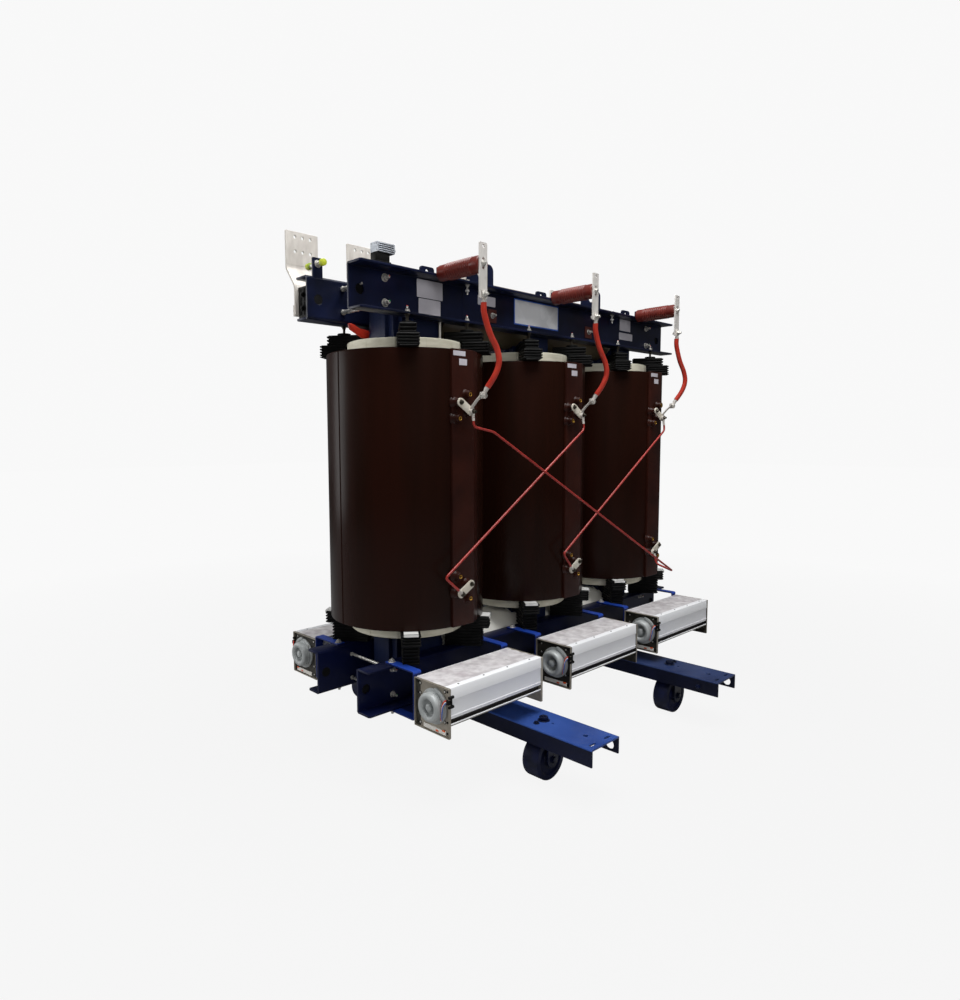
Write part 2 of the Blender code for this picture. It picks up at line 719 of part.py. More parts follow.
def top_clamp(side, name):
    solids = [channel(side, TOP_CLAMP_HALF, TOP_WEB_IN, TOP_WEB_OUT, TOP_FLANGE_TIP, TOP_CLAMP_LOW, TOP_CLAMP_HIGH)]
    cuts = []
    through = sided(side, TOP_WEB_IN - TIE_RADIUS, TOP_WEB_OUT + TIE_RADIUS)
    for hand in SIDES:
        cuts.append(across(hand * (TOP_CLAMP_HALF - TOP_END_HOLE_IN), through, TOP_END_HOLE_Z, END_HOLE_RADIUS, 8))
        cuts.append(across(hand * LIFT_LUG_X, through, LIFT_HOLE_Z, LIFT_HOLE_RADIUS, 8))
        solids.append(lifting_lug(side, hand * LIFT_LUG_X))
        for z in TIE_TOP_Z:
            cuts.append(across(hand * TIE_TOP_X, through, z, TIE_HOLE, 6))
    for x in COIL_X:
        solids.append(eye_lug(side, x + EYE_LUG_SHIFT))
        eye = sided(side, EYE_LUG_IN - TIE_RADIUS, EYE_LUG_OUT + TIE_RADIUS)
        cuts.append(across(x + EYE_LUG_SHIFT, eye, EYE_LUG_HOLE_Z, EYE_LUG_HOLE, 6))
    solids += top_blocks(side)
    if side < 0:
        for x in COIL_X:
            middle = x + BAR_X
            solids.append(block((middle - BRACKET_HALF, middle + BRACKET_HALF), BRACKET_Y, BRACKET_Z))
        for pad in PAD_X:
            face = -TOP_WEB_OUT
            solids.append(block(pad, (face - PAD_THICK, face + BITE), PAD_Z))
            middle = (pad[0] + pad[1]) / 2
            height = (PAD_Z[0] + PAD_Z[1]) / 2
            solids.append(across(middle, (face - PAD_BOLT_LONG, face), height, PAD_BOLT_RADIUS, 6))
    else:
        solids.append(block(EARTH_X, (TOP_WEB_IN + BITE, TOP_WEB_OUT - BITE), (TOP_CLAMP_HIGH - FLANGE_THICK, EARTH_TOP)))
        solids.append(across(sum(EARTH_X) / 2, EARTH_STUD, EARTH_STUD_Z, EARTH_STUD_RADIUS, 8))
        for x in [LV_NEUTRAL_X] + [p[1] for p in LV_PHASES]:
            back = LV_BAR_BACK - GAP
            solids.append(block((x - LV_STAND_HALF, x + LV_STAND_HALF), (TOP_WEB_OUT - BITE, back), LV_STAND_Z))
    return node(name, solids, cuts)


def strap(side, x):
    """C-shaped strap from the top flange round to the bottom flange, which carries one end of a fan."""
    high = BOTTOM_CLAMP_HIGH + STRAP_THICK
    low = BOTTOM_CLAMP_LOW - STRAP_THICK
    root = STRAP_ROOT
    face = STRAP_FACE
    inner = STRAP_FACE - STRAP_THICK
    outline = [
        (root, high), (face, high), (face, low), (root, low), (root, BOTTOM_CLAMP_LOW + BITE),
        (inner, BOTTOM_CLAMP_LOW + BITE), (inner, BOTTOM_CLAMP_HIGH - BITE), (root, BOTTOM_CLAMP_HIGH - BITE),
    ]
    solids = [prism([(side * y, z) for y, z in outline], 'X', x[0], x[1])]
    bolt = (sum(x) / 2, side * STRAP_BOLT_Y)
    solids.append(upright(*bolt, (high - BITE, high + STRAP_BOLT_THICK), STRAP_BOLT_RADIUS, 6))
    return solids


def bottom_clamp(side, name):
    solids = [channel(
        side, BOTTOM_CLAMP_HALF, BOTTOM_WEB_IN, BOTTOM_WEB_OUT, BOTTOM_FLANGE_TIP, BOTTOM_CLAMP_LOW, BOTTOM_CLAMP_HIGH
    )]
    cuts = []
    through = sided(side, BOTTOM_WEB_IN - TIE_RADIUS, BOTTOM_WEB_OUT + TIE_RADIUS)
    for hand in SIDES:
        cuts.append(across(hand * (BOTTOM_CLAMP_HALF - BOTTOM_END_HOLE_IN), through, BOTTOM_END_HOLE_Z, END_HOLE_RADIUS, 8))
        for z in TIE_BOTTOM_Z:
            cuts.append(across(hand * TIE_BOTTOM_X, through, z, TIE_HOLE, 6))
    solids += bottom_blocks(side)
    for x in COIL_X:
        for reach in (STRAP_LEFT, STRAP_RIGHT):
            solids += strap(side, (x + reach[0], x + reach[1]))
    return node(name, solids, cuts)


top_clamp(-1, 'clamp_top_front')
top_clamp(1, 'clamp_top_rear')
bottom_clamp(-1, 'clamp_bottom_front')
bottom_clamp(1, 'clamp_bottom_rear')


def tie_rod(name, x, z, web_out):
    """Threaded rod through both clamps, with a nut outside each web."""
    def place(a, b, along):
        return (x + a, along, z + b)
    outside = web_out + GAP
    half = [
        (TIE_RADIUS, TIE_END), (TIE_RADIUS, outside + TIE_NUT_THICK), (TIE_NUT, outside + TIE_NUT_THICK),
        (TIE_NUT, outside), (TIE_RADIUS, outside),
    ]
    profile = half + [(r, -y) for r, y in reversed(half)]
    return node(name, [turned_solid(profile, place, TIE_SIDES)])


for hand, label in zip(SIDES, ('left', 'right')):
    for z, level in zip(TIE_TOP_Z, ('upper', 'lower')):
        tie_rod('tie_rod_top_%s_%s' % (label, level), hand * TIE_TOP_X, z, TOP_WEB_OUT)
    for z, level in zip(TIE_BOTTOM_Z, ('upper', 'lower')):
        tie_rod('tie_rod_bottom_%s_%s' % (label, level), hand * TIE_BOTTOM_X, z, BOTTOM_WEB_OUT)

node('nameplate', [block(
    NAMEPLATE_X, (-TOP_WEB_OUT - GAP - NAMEPLATE_THICK, -TOP_WEB_OUT - GAP), NAMEPLATE_Z
)])


# High-voltage insulators, bars, leads and rods


def post_insulator(name, x):
    def place(a, b, along):
        return (x + a, along, INSULATOR_Z + b)
    start = BRACKET_Y[1] - GAP
    end = BAR_BACK + GAP
    plain = 16 * MM
    pitch = (start - end - 2 * plain) / INSULATOR_RIBS
    profile = [(INSULATOR_RADIUS, start)]
    for i in range(INSULATOR_RIBS):
        root = start - plain - i * pitch
        profile.append((INSULATOR_RADIUS, root))
        profile.append((INSULATOR_RIB, root - pitch / 2))
    profile.append((INSULATOR_RADIUS, end + plain))
    profile.append((INSULATOR_RADIUS, end))
    return node(name, [turned_solid(profile, place, INSULATOR_SIDES)])


def hv_bar(name, x):
    solids = [block((x - BAR_HALF, x + BAR_HALF), (BAR_FACE, BAR_BACK), (BAR_LOW, BAR_HIGH))]
    face = BAR_FACE
    solids.append(across(x, (face - BOLT_HEAD, face + BITE), INSULATOR_Z, NUT_RADIUS, 6))
    through = (BAR_FACE - BOLT_HEAD, BAR_BACK + BOLT_HEAD)
    cuts = [across(x, through, z, BAR_HOLE_RADIUS, 6) for z in BAR_HOLES_Z]
    return node(name, solids, cuts)


def hv_lead(name, x):
    """Insulated lead with a lug on the bar and a thin tail with an eye on the coil's stud."""
    shift = Vector((x, 0, 0))
    route = [p + shift for p in flowing(metres(LEAD_ROUTE), 2)]
    tail = [p + shift for p in flowing(metres(LEAD_TAIL), 1)]
    solids = [swept(route, LEAD_RADIUS, LEAD_SIDES), swept(tail, LEAD_TAIL_RADIUS, 6)]
    tab = (BAR_FACE - GAP - EYE_THICKNESS, BAR_FACE - GAP)
    middle = x + BAR_X
    solids.append(block((middle - LEAD_TAB_HALF, middle + LEAD_TAB_HALF), tab, LEAD_TAB_Z))
    solids.append(across(middle, (tab[0] - BOLT_HEAD, tab[0] + BITE), (LEAD_TAB_Z[1] + BAR_LOW) / 2, NUT_RADIUS, 6))
    eye = (LINK_FACE - GAP - EYE_THICKNESS, LINK_FACE - GAP)
    solids.append(across(x + BOSS_RIGHT_X, eye, TOP_RIGHT_BOSSES_Z[0], EYE_RADIUS, 8))
    tab_x = (x + BOSS_RIGHT_X - LEAD_EYE_TAB_HALF, x + BOSS_RIGHT_X + LEAD_EYE_TAB_HALF)
    solids.append(block(tab_x, eye, LEAD_EYE_TAB_Z))
    hole = across(x + BOSS_RIGHT_X, (eye[0] - BOLT_HEAD, eye[1] + BOLT_HEAD), TOP_RIGHT_BOSSES_Z[0], EYE_HOLE, 6)
    return node(name, solids, [hole])


def delta_rod(name, route, start, end):
    """Thin insulated rod from the top stud of one coil to the bottom stud of another."""
    line = [Vector(p) + Vector((x, 0, 0)) for points, x in zip(route, (start, end)) for p in metres(points)]
    solids = [swept(softened(line, ROD_BEND), ROD_RADIUS, ROD_SIDES)]
    cuts = []
    top_face = LINK_FACE - 2 * GAP - EYE_THICKNESS
    bottom_face = LINK_FACE - GAP
    for x, z, face in (
        (start + BOSS_RIGHT_X, TOP_RIGHT_BOSSES_Z[0], top_face),
        (end + BOSS_LEFT_X, BOTTOM_LEFT_BOSSES_Z[0], bottom_face),
    ):
        solids.append(across(x, (face - EYE_THICKNESS, face), z, EYE_RADIUS, 8))
        cuts.append(across(x, (face - EYE_THICKNESS - BOLT_HEAD, face + BOLT_HEAD), z, EYE_HOLE, 6))
    tab_x = (start + BOSS_RIGHT_X - ROD_TAB_HALF, start + BOSS_RIGHT_X + ROD_TAB_HALF)
    solids.append(block(tab_x, (top_face - EYE_THICKNESS, top_face), ROD_TAB_Z))
    return node(name, solids, cuts)


BOLT_HEAD = 7 * MM

for number, x in enumerate(COIL_X, 1):
    post_insulator('post_insulator_%d' % number, x + BAR_X)
    hv_bar('hv_bar_%d' % number, x + BAR_X)
    hv_lead('hv_lead_%d' % number, x)

delta_rod('delta_rod_1', ROD_LEFT_RIGHT, COIL_X[0], COIL_X[2])
delta_rod('delta_rod_2', ROD_MIDDLE_LEFT, COIL_X[1], COIL_X[0])
delta_rod('delta_rod_3', ROD_RIGHT_MIDDLE, COIL_X[2], COIL_X[1])


# Low-voltage bars


def plate_along(line, thick):
    """The outline of a plate of even thickness that follows a line of (y, z)."""
    line = [Vector(p) for p in line]
    left = []
    right = []
    for i, p in enumerate(line):
        ways = []
        if i > 0:
            ways.append((p - line[i - 1]).normalized())
        if i < len(line) - 1:
            ways.append((line[i + 1] - p).normalized())
        way = sum(ways, Vector((0, 0))).normalized()
        flat = Vector((-way.y, way.x))
        reach = thick / 2 / max(0.5, flat.dot(Vector((-ways[0].y, ways[0].x))))
        left.append(p + flat * reach)
        right.append(p - flat * reach)
    return [tuple(p) for p in left + right[::-1]]


def lv_bar(name, x, line, with_cross_bar=False):
    outline = plate_along(metres(line), LV_BAR_THICK)
    solids = [prism(outline, 'X', x - LV_BAR_HALF, x + LV_BAR_HALF)]
    if with_cross_bar:
        solids.append(block((x - LV_BAR_HALF + BITE, NEUTRAL_BAR_END), NEUTRAL_BAR_Y, NEUTRAL_BAR_Z))
        solids.append(block((x - LV_BAR_HALF + BITE, x), (LV_BAR_BACK + LV_BAR_THICK - BITE, NEUTRAL_BAR_Y[1] - BITE), (
            NEUTRAL_BAR_Z[0] + BITE, NEUTRAL_BAR_Z[1] - BITE)))
    depth = line[-1][0] * MM
    through = (depth - 2 * LV_BAR_THICK, depth + 2 * LV_BAR_THICK)
    cuts = [across(x + a, through, z, LV_HOLE_RADIUS, 6) for a in LV_HOLES_X for z in LV_HOLES_Z]
    return node(name, solids, cuts)


lv_bar('lv_bar_n', LV_NEUTRAL_X, LV_NEUTRAL_PROFILE, True)
for phase, x in LV_PHASES:
    lv_bar('lv_bar_' + phase, x, LV_PROFILE)


# Base rails and rollers


def slot(x, y):
    above = (RAIL_HIGH - 2 * RAIL_THICK, RAIL_HIGH + RAIL_THICK)
    reach = RAIL_SLOT_HALF + RAIL_SLOT_RADIUS
    return block((x - reach, x + reach), (y - RAIL_SLOT_RADIUS, y + RAIL_SLOT_RADIUS), above)


def base_rail(name, hand):
    x = hand * RAIL_X
    half = RAIL_HALF_WIDTH
    inner = half - RAIL_THICK
    under = RAIL_HIGH - RAIL_THICK
    outline = [
        (x - half, RAIL_LOW), (x - inner, RAIL_LOW), (x - inner, under), (x + inner, under),
        (x + inner, RAIL_LOW), (x + half, RAIL_LOW), (x + half, RAIL_HIGH), (x - half, RAIL_HIGH),
    ]
    solids = [prism(outline, 'Y', -RAIL_HALF, RAIL_HALF)]
    cuts = []
    above = (RAIL_HIGH - 2 * RAIL_THICK, RAIL_HIGH + RAIL_THICK)
    for side in SIDES:
        middle = side * ROLLER_Y
        foot = sorted((hand * FOOT_X[0], hand * FOOT_X[1]))
        solids.append(block(foot, sided(side, FOOT_Y[0], FOOT_Y[1]), (RAIL_HIGH - BITE, BOTTOM_CLAMP_LOW - GAP)))
        for cheek in SIDES:
            near = middle + cheek * CHEEK_IN
            far = middle + cheek * CHEEK_OUT
            solids.append(block((x - CHEEK_HALF, x + CHEEK_HALF), (min(near, far), max(near, far)), (CHEEK_LOW, under + BITE)))
        reach = CHEEK_OUT + BOLT_HEAD
        solids.append(across(x, (middle - reach, middle + reach), ROLLER_Z, AXLE_RADIUS, AXLE_SIDES))
        solids.append(upright(x, middle, (under, PIVOT_NUT_HIGH), PIVOT_NUT, 6))
        solids.append(upright(x + hand * SMALL_BOLT_SHIFT, middle, (under, SMALL_BOLT_HIGH), SMALL_BOLT, 6))
        cuts.append(upright(x, side * (RAIL_HALF - RAIL_HOLE_IN), above, RAIL_HOLE_RADIUS, 6))
        cuts.append(upright(x, side * (ROLLER_Y + RAIL_SMALL_HOLE_PAST), above, RAIL_SMALL_HOLE_RADIUS, 6))
        for shift in SIDES:
            cuts.append(slot(x + shift * RAIL_SLOT_X, side * (RAIL_HALF - RAIL_SLOT_IN)))
        web = (x + inner - RAIL_THICK, x + half + RAIL_THICK)
        cuts.append(lengthwise(web, side * (RAIL_HALF - RAIL_SIDE_HOLE_IN), RAIL_SIDE_HOLE_Z, RAIL_SIDE_HOLE_RADIUS, 8))
        if hand > 0:
            bolt = (x - half - BOLT_HEAD, x - half + BITE)
            solids.append(lengthwise(bolt, side * (RAIL_HALF - RAIL_SIDE_BOLT_IN), RAIL_SIDE_HOLE_Z, NUT_RADIUS, 6))
    return node(name, solids, cuts)


def roller(name, x, y):
    def place(a, b, along):
        return (x + a, y + along, ROLLER_Z + b)
    half = ROLLER_HALF
    hub = ROLLER_HUB
    web = half - ROLLER_DISH
    rim = ROLLER_RADIUS - ROLLER_RIM
    profile = [
        (ROLLER_BORE, -half), (hub, -half), (hub, -web), (rim, -web), (rim, -half), (ROLLER_RADIUS, -half),
        (ROLLER_RADIUS, half), (rim, half), (rim, web), (hub, web), (hub, half), (ROLLER_BORE, half),
    ]
    return node(name, [turned(profile, place, ROLLER_SIDES)])


for hand, label in zip(SIDES, ('left', 'right')):
    base_rail('base_rail_' + label, hand)
    for side, end in zip(SIDES, ('front', 'rear')):
        roller('roller_%s_%s' % (end, label), hand * RAIL_X, side * ROLLER_Y)


# Fans


def fan_housing(name, x, side):
    start = x + FAN_X[0]
    end = x + FAN_X[1]
    depth = sided(side, FAN_BACK, FAN_FRONT)
    inside = sided(side, FAN_BACK + FAN_RIM, FAN_FRONT - FAN_RIM)
    height = (FAN_LOW, FAN_HIGH)
    solids = [
        block((start, start + FAN_PAN), depth, height),
        block((end - FAN_PAN, end), depth, height),
    ]
    cuts = [
        block((start - FAN_PAN, start + FAN_PAN - FAN_PLATE), inside, (FAN_LOW + FAN_RIM, FAN_HIGH - FAN_RIM)),
        block((end - FAN_PAN + FAN_PLATE, end + FAN_PAN), inside, (FAN_LOW + FAN_RIM, FAN_HIGH - FAN_RIM)),
    ]
    pans = combine(solids[0], [solids[1]], 'UNION')
    pans = combine(pans, cuts, 'DIFFERENCE')
    from_x = start + FAN_PAN - BITE
    to_x = end - FAN_PAN + BITE
    walls = [
        prism([(side * y * MM, z * MM) for y, z in outline], 'X', from_x, to_x)
        for outline in (FAN_FRONT_WALL, FAN_BACK_WALL, FAN_CURL)
    ]
    axis_y = side * FAN_AXIS_Y
    front = start + FAN_PAN - FAN_PLATE - MOTOR_LONG

    def place(a, b, along):
        return (along, axis_y + a, FAN_AXIS_Z + b)
    back = start + FAN_PAN - BITE
    motor = turned_solid([
        (MOTOR_HUB, front), (MOTOR_HUB, front + MOTOR_STEP), (MOTOR_RADIUS - BOLT_HEAD, front + MOTOR_STEP),
        (MOTOR_RADIUS, front + MOTOR_STEP + BOLT_HEAD), (MOTOR_RADIUS, back),
    ], place, MOTOR_SIDES)
    shaft_way = (start + STUD_PROUD, end + FAN_PAN)
    hole = lengthwise(shaft_way, axis_y, FAN_AXIS_Z, SHAFT_HOLE, SHAFT_SIDES, pi / SHAFT_SIDES)
    return node(name, [pans] + walls + [motor], [hole])


def fan_impeller(name, x, side):
    """Hollow drum of leaning blades between end discs, on one shaft."""
    start = x + FAN_X[0] + FAN_PAN + DRUM_CLEAR
    end = x + FAN_X[1] - FAN_PAN - DRUM_CLEAR
    axis_y = side * FAN_AXIS_Y
    solids = [lengthwise(
        (start - DRUM_CLEAR - FAN_PLATE - STUD_PROUD, end + DRUM_CLEAR + FAN_PLATE + STUD_PROUD),
        axis_y, FAN_AXIS_Z, SHAFT_RADIUS, SHAFT_SIDES,
    )]
    for low in (start, end - DRUM_DISC):
        solids.append(lengthwise((low, low + DRUM_DISC), axis_y, FAN_AXIS_Z, DRUM_RADIUS, DRUM_SIDES))
    for i in range(BLADES):
        angle = 2 * pi * (i + 0.5) / BLADES
        out = Vector((cos(angle), sin(angle)))
        round_way = Vector((-out.y, out.x)) * side
        inner = out * DRUM_INNER
        outer = out * (DRUM_RADIUS - STUD_PROUD) + round_way * (BLADE_LEAN_SHARE * (DRUM_RADIUS - DRUM_INNER))
        way = (outer - inner).normalized()
        flat = Vector((-way.y, way.x)) * (BLADE_THICK / 2)
        outline = [inner - flat, outer - flat, outer + flat, inner + flat]
        outline = [(axis_y + p.x, FAN_AXIS_Z + p.y) for p in outline]
        solids.append(prism(outline, 'X', start + DRUM_DISC / 2, end - DRUM_DISC / 2))
    return node(name, solids)


for side, end in zip(SIDES, ('front', 'rear')):
    for number, x in enumerate(COIL_X, 1):
        fan_housing('fan_housing_%s_%d' % (end, number), x, side)
        fan_impeller('fan_impeller_%s_%d' % (end, number), x, side)


# Sensor terminal box


def sensor_box():
    base = TOP_CLAMP_HIGH + GAP
    solids = [
        block(SENSOR_X, SENSOR_Y, SENSOR_Z),
        block(SENSOR_FOOT_X, SENSOR_FOOT_Y, (base, SENSOR_Z[0] + BITE)),
        lengthwise(
            (SENSOR_X[1] - BITE, SENSOR_X[1] + GLAND_LONG), sum(SENSOR_Y) / 2, sum(SENSOR_Z) / 2, GLAND_RADIUS, 6
        ),
    ]
    cuts = []
    pitch = (SENSOR_Z[1] - SENSOR_Z[0]) / SENSOR_FINS
    for i in range(SENSOR_FINS):
        low = SENSOR_Z[0] + (i + 1 - SENSOR_FIN_SHARE) * pitch
        high = low + SENSOR_FIN_SHARE * pitch / 2
        for y in ((SENSOR_Y[0] - SENSOR_FIN_DEPTH, SENSOR_Y[0] + SENSOR_FIN_DEPTH),
                  (SENSOR_Y[1] - SENSOR_FIN_DEPTH, SENSOR_Y[1] + SENSOR_FIN_DEPTH)):
            cuts.append(block((SENSOR_X[0] - BITE, SENSOR_X[1] + BITE), y, (low, high)))
    return node('sensor_box', solids, cuts)


sensor_box()
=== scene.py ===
# Dry-type transformer: looks of every piece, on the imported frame
#
# +X runs along the coils, -Y is the high-voltage side, +Z is up. Lengths are in metres unless a comment
# says mm.

import bpy
import bmesh
from math import cos, sin, pi, radians, hypot
from mathutils import Matrix, Vector


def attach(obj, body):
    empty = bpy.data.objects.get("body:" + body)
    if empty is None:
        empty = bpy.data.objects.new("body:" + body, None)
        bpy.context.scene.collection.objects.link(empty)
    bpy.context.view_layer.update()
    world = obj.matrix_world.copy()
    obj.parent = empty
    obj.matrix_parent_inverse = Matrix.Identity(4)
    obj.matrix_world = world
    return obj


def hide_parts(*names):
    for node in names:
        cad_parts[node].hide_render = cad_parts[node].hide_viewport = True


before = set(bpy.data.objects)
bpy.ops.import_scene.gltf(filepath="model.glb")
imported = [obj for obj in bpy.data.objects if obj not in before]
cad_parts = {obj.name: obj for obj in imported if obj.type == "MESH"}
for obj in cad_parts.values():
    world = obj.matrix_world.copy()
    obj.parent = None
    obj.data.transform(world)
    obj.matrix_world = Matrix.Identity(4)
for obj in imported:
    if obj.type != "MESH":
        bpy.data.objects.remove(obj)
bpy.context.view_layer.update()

MM = 0.001
COIL_X = (-0.66, 0.0, 0.66)
SIDES = (-1, 1)
ENDS = ((-1, 'front'), (1, 'rear'))
HANDS = ((-1, 'left'), (1, 'right'))
FORWARD, BACK = 1, -1

# Materials

TONE_EDGES = (0.35, 0.65)
GLOSS_EDGES = (0.3, 0.7)
PATCH_EDGES = (0.62, 0.8)
PATCH_MOST = 0.75
PATCH_GRAIN_SHARE = 0.37
GLOSS_GRAIN_SHARE = 0.6
MIX_FIRST, MIX_SECOND, MIX_RESULT = 6, 7, 2


def colour(text):
    """A web colour as linear light."""
    parts = [int(text[i:i + 2], 16) / 255 for i in (0, 2, 4)]
    return tuple(((v + 0.055) / 1.055) ** 2.4 if v > 0.04045 else v / 12.92 for v in parts) + (1.0,)


def feed(node, inputs):
    """Gives each input, by name or number, a value or another node's output."""
    for key, given in inputs.items():
        if isinstance(given, bpy.types.NodeSocket):
            node.id_data.links.new(given, node.inputs[key])
        else:
            node.inputs[key].default_value = given


def add_node(tree, kind, inputs=None, **settings):
    node = tree.nodes.new('ShaderNode' + kind)
    for key, setting in settings.items():
        setattr(node, key, setting)
    feed(node, inputs or {})
    return node


def material(name, tones, rough=0.5, metal=0.0, coat=0.0, coat_rough=0.1, specular=0.5, grain=25.0,
             stretch=(1, 1, 1), rough_spread=0.08, bump=(0.1, 300.0), depth=0.0003, dirt_and_sheen=None):
    """Two mixed tones, uneven gloss and fine relief. bump is (strength, grain), and the patch argument is
    (colour, share): patches of a third colour, real grime on most materials and painted reflection on the panel
    resin.
    """
    mat = bpy.data.materials.new(name)
    mat.use_nodes = True
    tree = mat.node_tree
    place = add_node(tree, 'TexCoord').outputs['Object']
    stretched = add_node(tree, 'Mapping', {'Scale': stretch, 'Vector': place}).outputs['Vector']

    def noise(scale, detail, vector=stretched):
        return add_node(tree, 'TexNoise', {'Scale': scale, 'Detail': detail, 'Vector': vector}).outputs['Fac']

    def spread(value, low, high, to_low, to_high):
        ends = {'Value': value, 'From Min': low, 'From Max': high, 'To Min': to_low, 'To Max': to_high}
        return add_node(tree, 'MapRange', ends).outputs['Result']

    def mixed(factor, first, second):
        inputs = {'Factor': factor, MIX_FIRST: first, MIX_SECOND: second}
        return add_node(tree, 'Mix', inputs, data_type='RGBA').outputs[MIX_RESULT]

    first, second = (colour(tone) for tone in tones.split())
    shade = mixed(spread(noise(grain, 6), *TONE_EDGES, 0, 1), first, second)
    if dirt_and_sheen:
        low, high = (edge - dirt_and_sheen[1] for edge in PATCH_EDGES)
        patches = spread(noise(grain * PATCH_GRAIN_SHARE, 8, place), low, high, 0, PATCH_MOST)
        shade = mixed(patches, shade, colour(dirt_and_sheen[0]))
    gloss = noise(grain * GLOSS_GRAIN_SHARE, 4)
    gloss = spread(gloss, *GLOSS_EDGES, max(rough - rough_spread, 0.02), rough + rough_spread)
    relief = add_node(tree, 'Bump', {'Strength': bump[0], 'Distance': depth, 'Height': noise(bump[1], 3)})
    feed(tree.nodes['Principled BSDF'], {
        'Base Color': shade, 'Roughness': gloss, 'Normal': relief.outputs['Normal'], 'Metallic': metal,
        'Coat Weight': coat, 'Coat Roughness': coat_rough, 'Specular IOR Level': specular})
    return mat


PAINT = dict(specular=0.25, bump=(0.3, 140), grain=6)
STRAPS = dict(specular=0.25, bump=(0.2, 140), grain=9)
FAN_SKIN = dict(rough=0.4, metal=0.05, grain=2.5, bump=(0.02, 30))
TINNED = dict(grain=35, stretch=(1, 1, 0.4), bump=(0.2, 250))
SLEEVED = dict(coat=0.1, grain=25, bump=(0.2, 220))
NAVY = material('navy_paint', '070c1e 0f1737', 0.38, coat=0.08, specular=0.25, bump=(0.3, 160), grain=7,
                dirt_and_sheen=('252c46', 0.02))
NAVY_LOW = material('low_navy_paint', '060b26 0a1134', 0.4, coat=0.06, specular=0.22, bump=(0.3, 160),
                    grain=6, dirt_and_sheen=('1c2446', 0.02))
# One rail paint in three tones: the lighter one paints light on the near rail's top, while the far rail's tone
# and the near-black web tone are painted shade.
RAIL_PAINTED_LIT = material('rail_paint', '243f80 304e94', 0.42, coat=0.1, dirt_and_sheen=('3c4868', 0.03), **PAINT)
RAIL_FAR_PAINTED_SHADE = material('far_rail_painted_shade', '1e2b50 2c3c66', 0.42, coat=0.1, dirt_and_sheen=('3c4868', 0.03), **PAINT)
RAIL_WEB_PAINTED_SHADE = material('rail_web_painted_shade', '070b1c 0c1230', 0.45, coat=0.05, specular=0.2, bump=(0.3, 140),
                     grain=6, dirt_and_sheen=('1c2238', 0.03))
# One strap paint in two tones: the darker is painted shade on the sides and arms, the lighter is painted light on
# the tops.
STRAP_PAINTED_SHADE = material('strap_painted_shade', '102058 152a6c', 0.38, coat=0.1, **STRAPS)
STRAP_PAINTED_LIT = material('strap_painted_lit', '1c3c96 2446a6', 0.35, coat=0.15, specular=0.3, bump=(0.2, 140), grain=9)
ROLLER = material('roller_paint', '0c1024 12183a', specular=0.3, bump=(0.5, 90), grain=20, dirt_and_sheen=('20202a', 0.08))
LIMB = material('core_paint', '0f1730 141d3a', 0.45, specular=0.3, stretch=(1, 60, 1), bump=(0.5, 14), grain=5)
# One core lacquer in two tones: the upper yoke's dark tone is painted shade, and the lower yoke's near-white tone
# paints light over the shade it sits in.
YOKE_TOP_PAINTED_SHADE = material('top_lacquer_painted_shade', '5e523f 484030', 0.4, coat=0.15, grain=5, bump=(0.3, 40), dirt_and_sheen=('35301f', 0.0))
YOKE_PAINTED_LIGHT = material('core_lacquer', 'dedcd3 eae8e1', 0.35, coat=0.2, grain=5, bump=(0.3, 40), dirt_and_sheen=('aaa698', 0.0))
RESIN = material('cast_resin', '190a05 220d07', 0.3, coat=0.03, coat_rough=0.2, specular=0.09, grain=3.2,
                 stretch=(3, 3, 0.25), bump=(0.3, 45), rough_spread=0.06)
# The panel resin is lighter than the coil body, and its reddish patches are painted reflection.
PANEL_PAINTED_SHEEN = material('panel_resin_painted_sheen', '260f0a 32150e', 0.38, coat=0.06, coat_rough=0.25, specular=0.16, grain=9,
                 bump=(0.4, 60), dirt_and_sheen=('5a2a24', -0.02))
WINDING = material('winding_wrap', 'cfcbb6 dedac8', 0.55, stretch=(1, 1, 6), grain=18, bump=(0.3, 60),
                   dirt_and_sheen=('a9a492', 0.0))
BLACK = material('moulded_black', '060606 0d0d0d', 0.55, specular=0.2, grain=30, bump=(0.2, 400))
WHITE = material('white_pad', 'd9d9d6 e6e6e4', grain=30)
HV_TIN = material('terminal_tin', 'dcd8d3 eae6e1', 0.42, metal=0.25, dirt_and_sheen=('b5aea2', 0.0), **TINNED)
BUSHING = material('bushing_resin', '5c1d16 6b251c', 0.38, coat=0.2, grain=14, bump=(0.3, 120))
TIN = material('tinned_bar', 'bfb9b2 d3cec7', 0.6, metal=0.1, specular=0.3, dirt_and_sheen=('a39d92', 0.0), **TINNED)
LINK = material('link_plate', 'cbc4b4 ddd7ca', 0.45, metal=0.15, grain=30, bump=(0.15, 300), dirt_and_sheen=('9c9484', 0.0))
ZINC = material('zinc_steel', 'bdbab4 e4e2dc', 0.28, metal=0.6, grain=90, bump=(0.15, 300))
DARK_BOLT = material('dark_bolt', '4a453e 6a645a', 0.38, metal=0.9, grain=90, bump=(0.15, 300))
BRASS = material('brass', 'd09a3c e6b556', 0.3, metal=0.9, grain=90)
SLEEVE = material('lead_sleeve', 'a82a1c b73524', 0.4, **SLEEVED)
ROD = material('rod_sleeve', '8e2520 a02f28', 0.42, **SLEEVED)
FAN = material('fan_aluminium', 'f0f1f4 f6f7f9', **FAN_SKIN)
# The lower front wall is the housing's own aluminium in a tone of its own, set to paint light on a wall that
# falls in shade.
FAN_LOW_PAINTED_LIGHT = material('fan_lower_wall_painted_light', 'f1f2f6 f7f8fb', **FAN_SKIN)
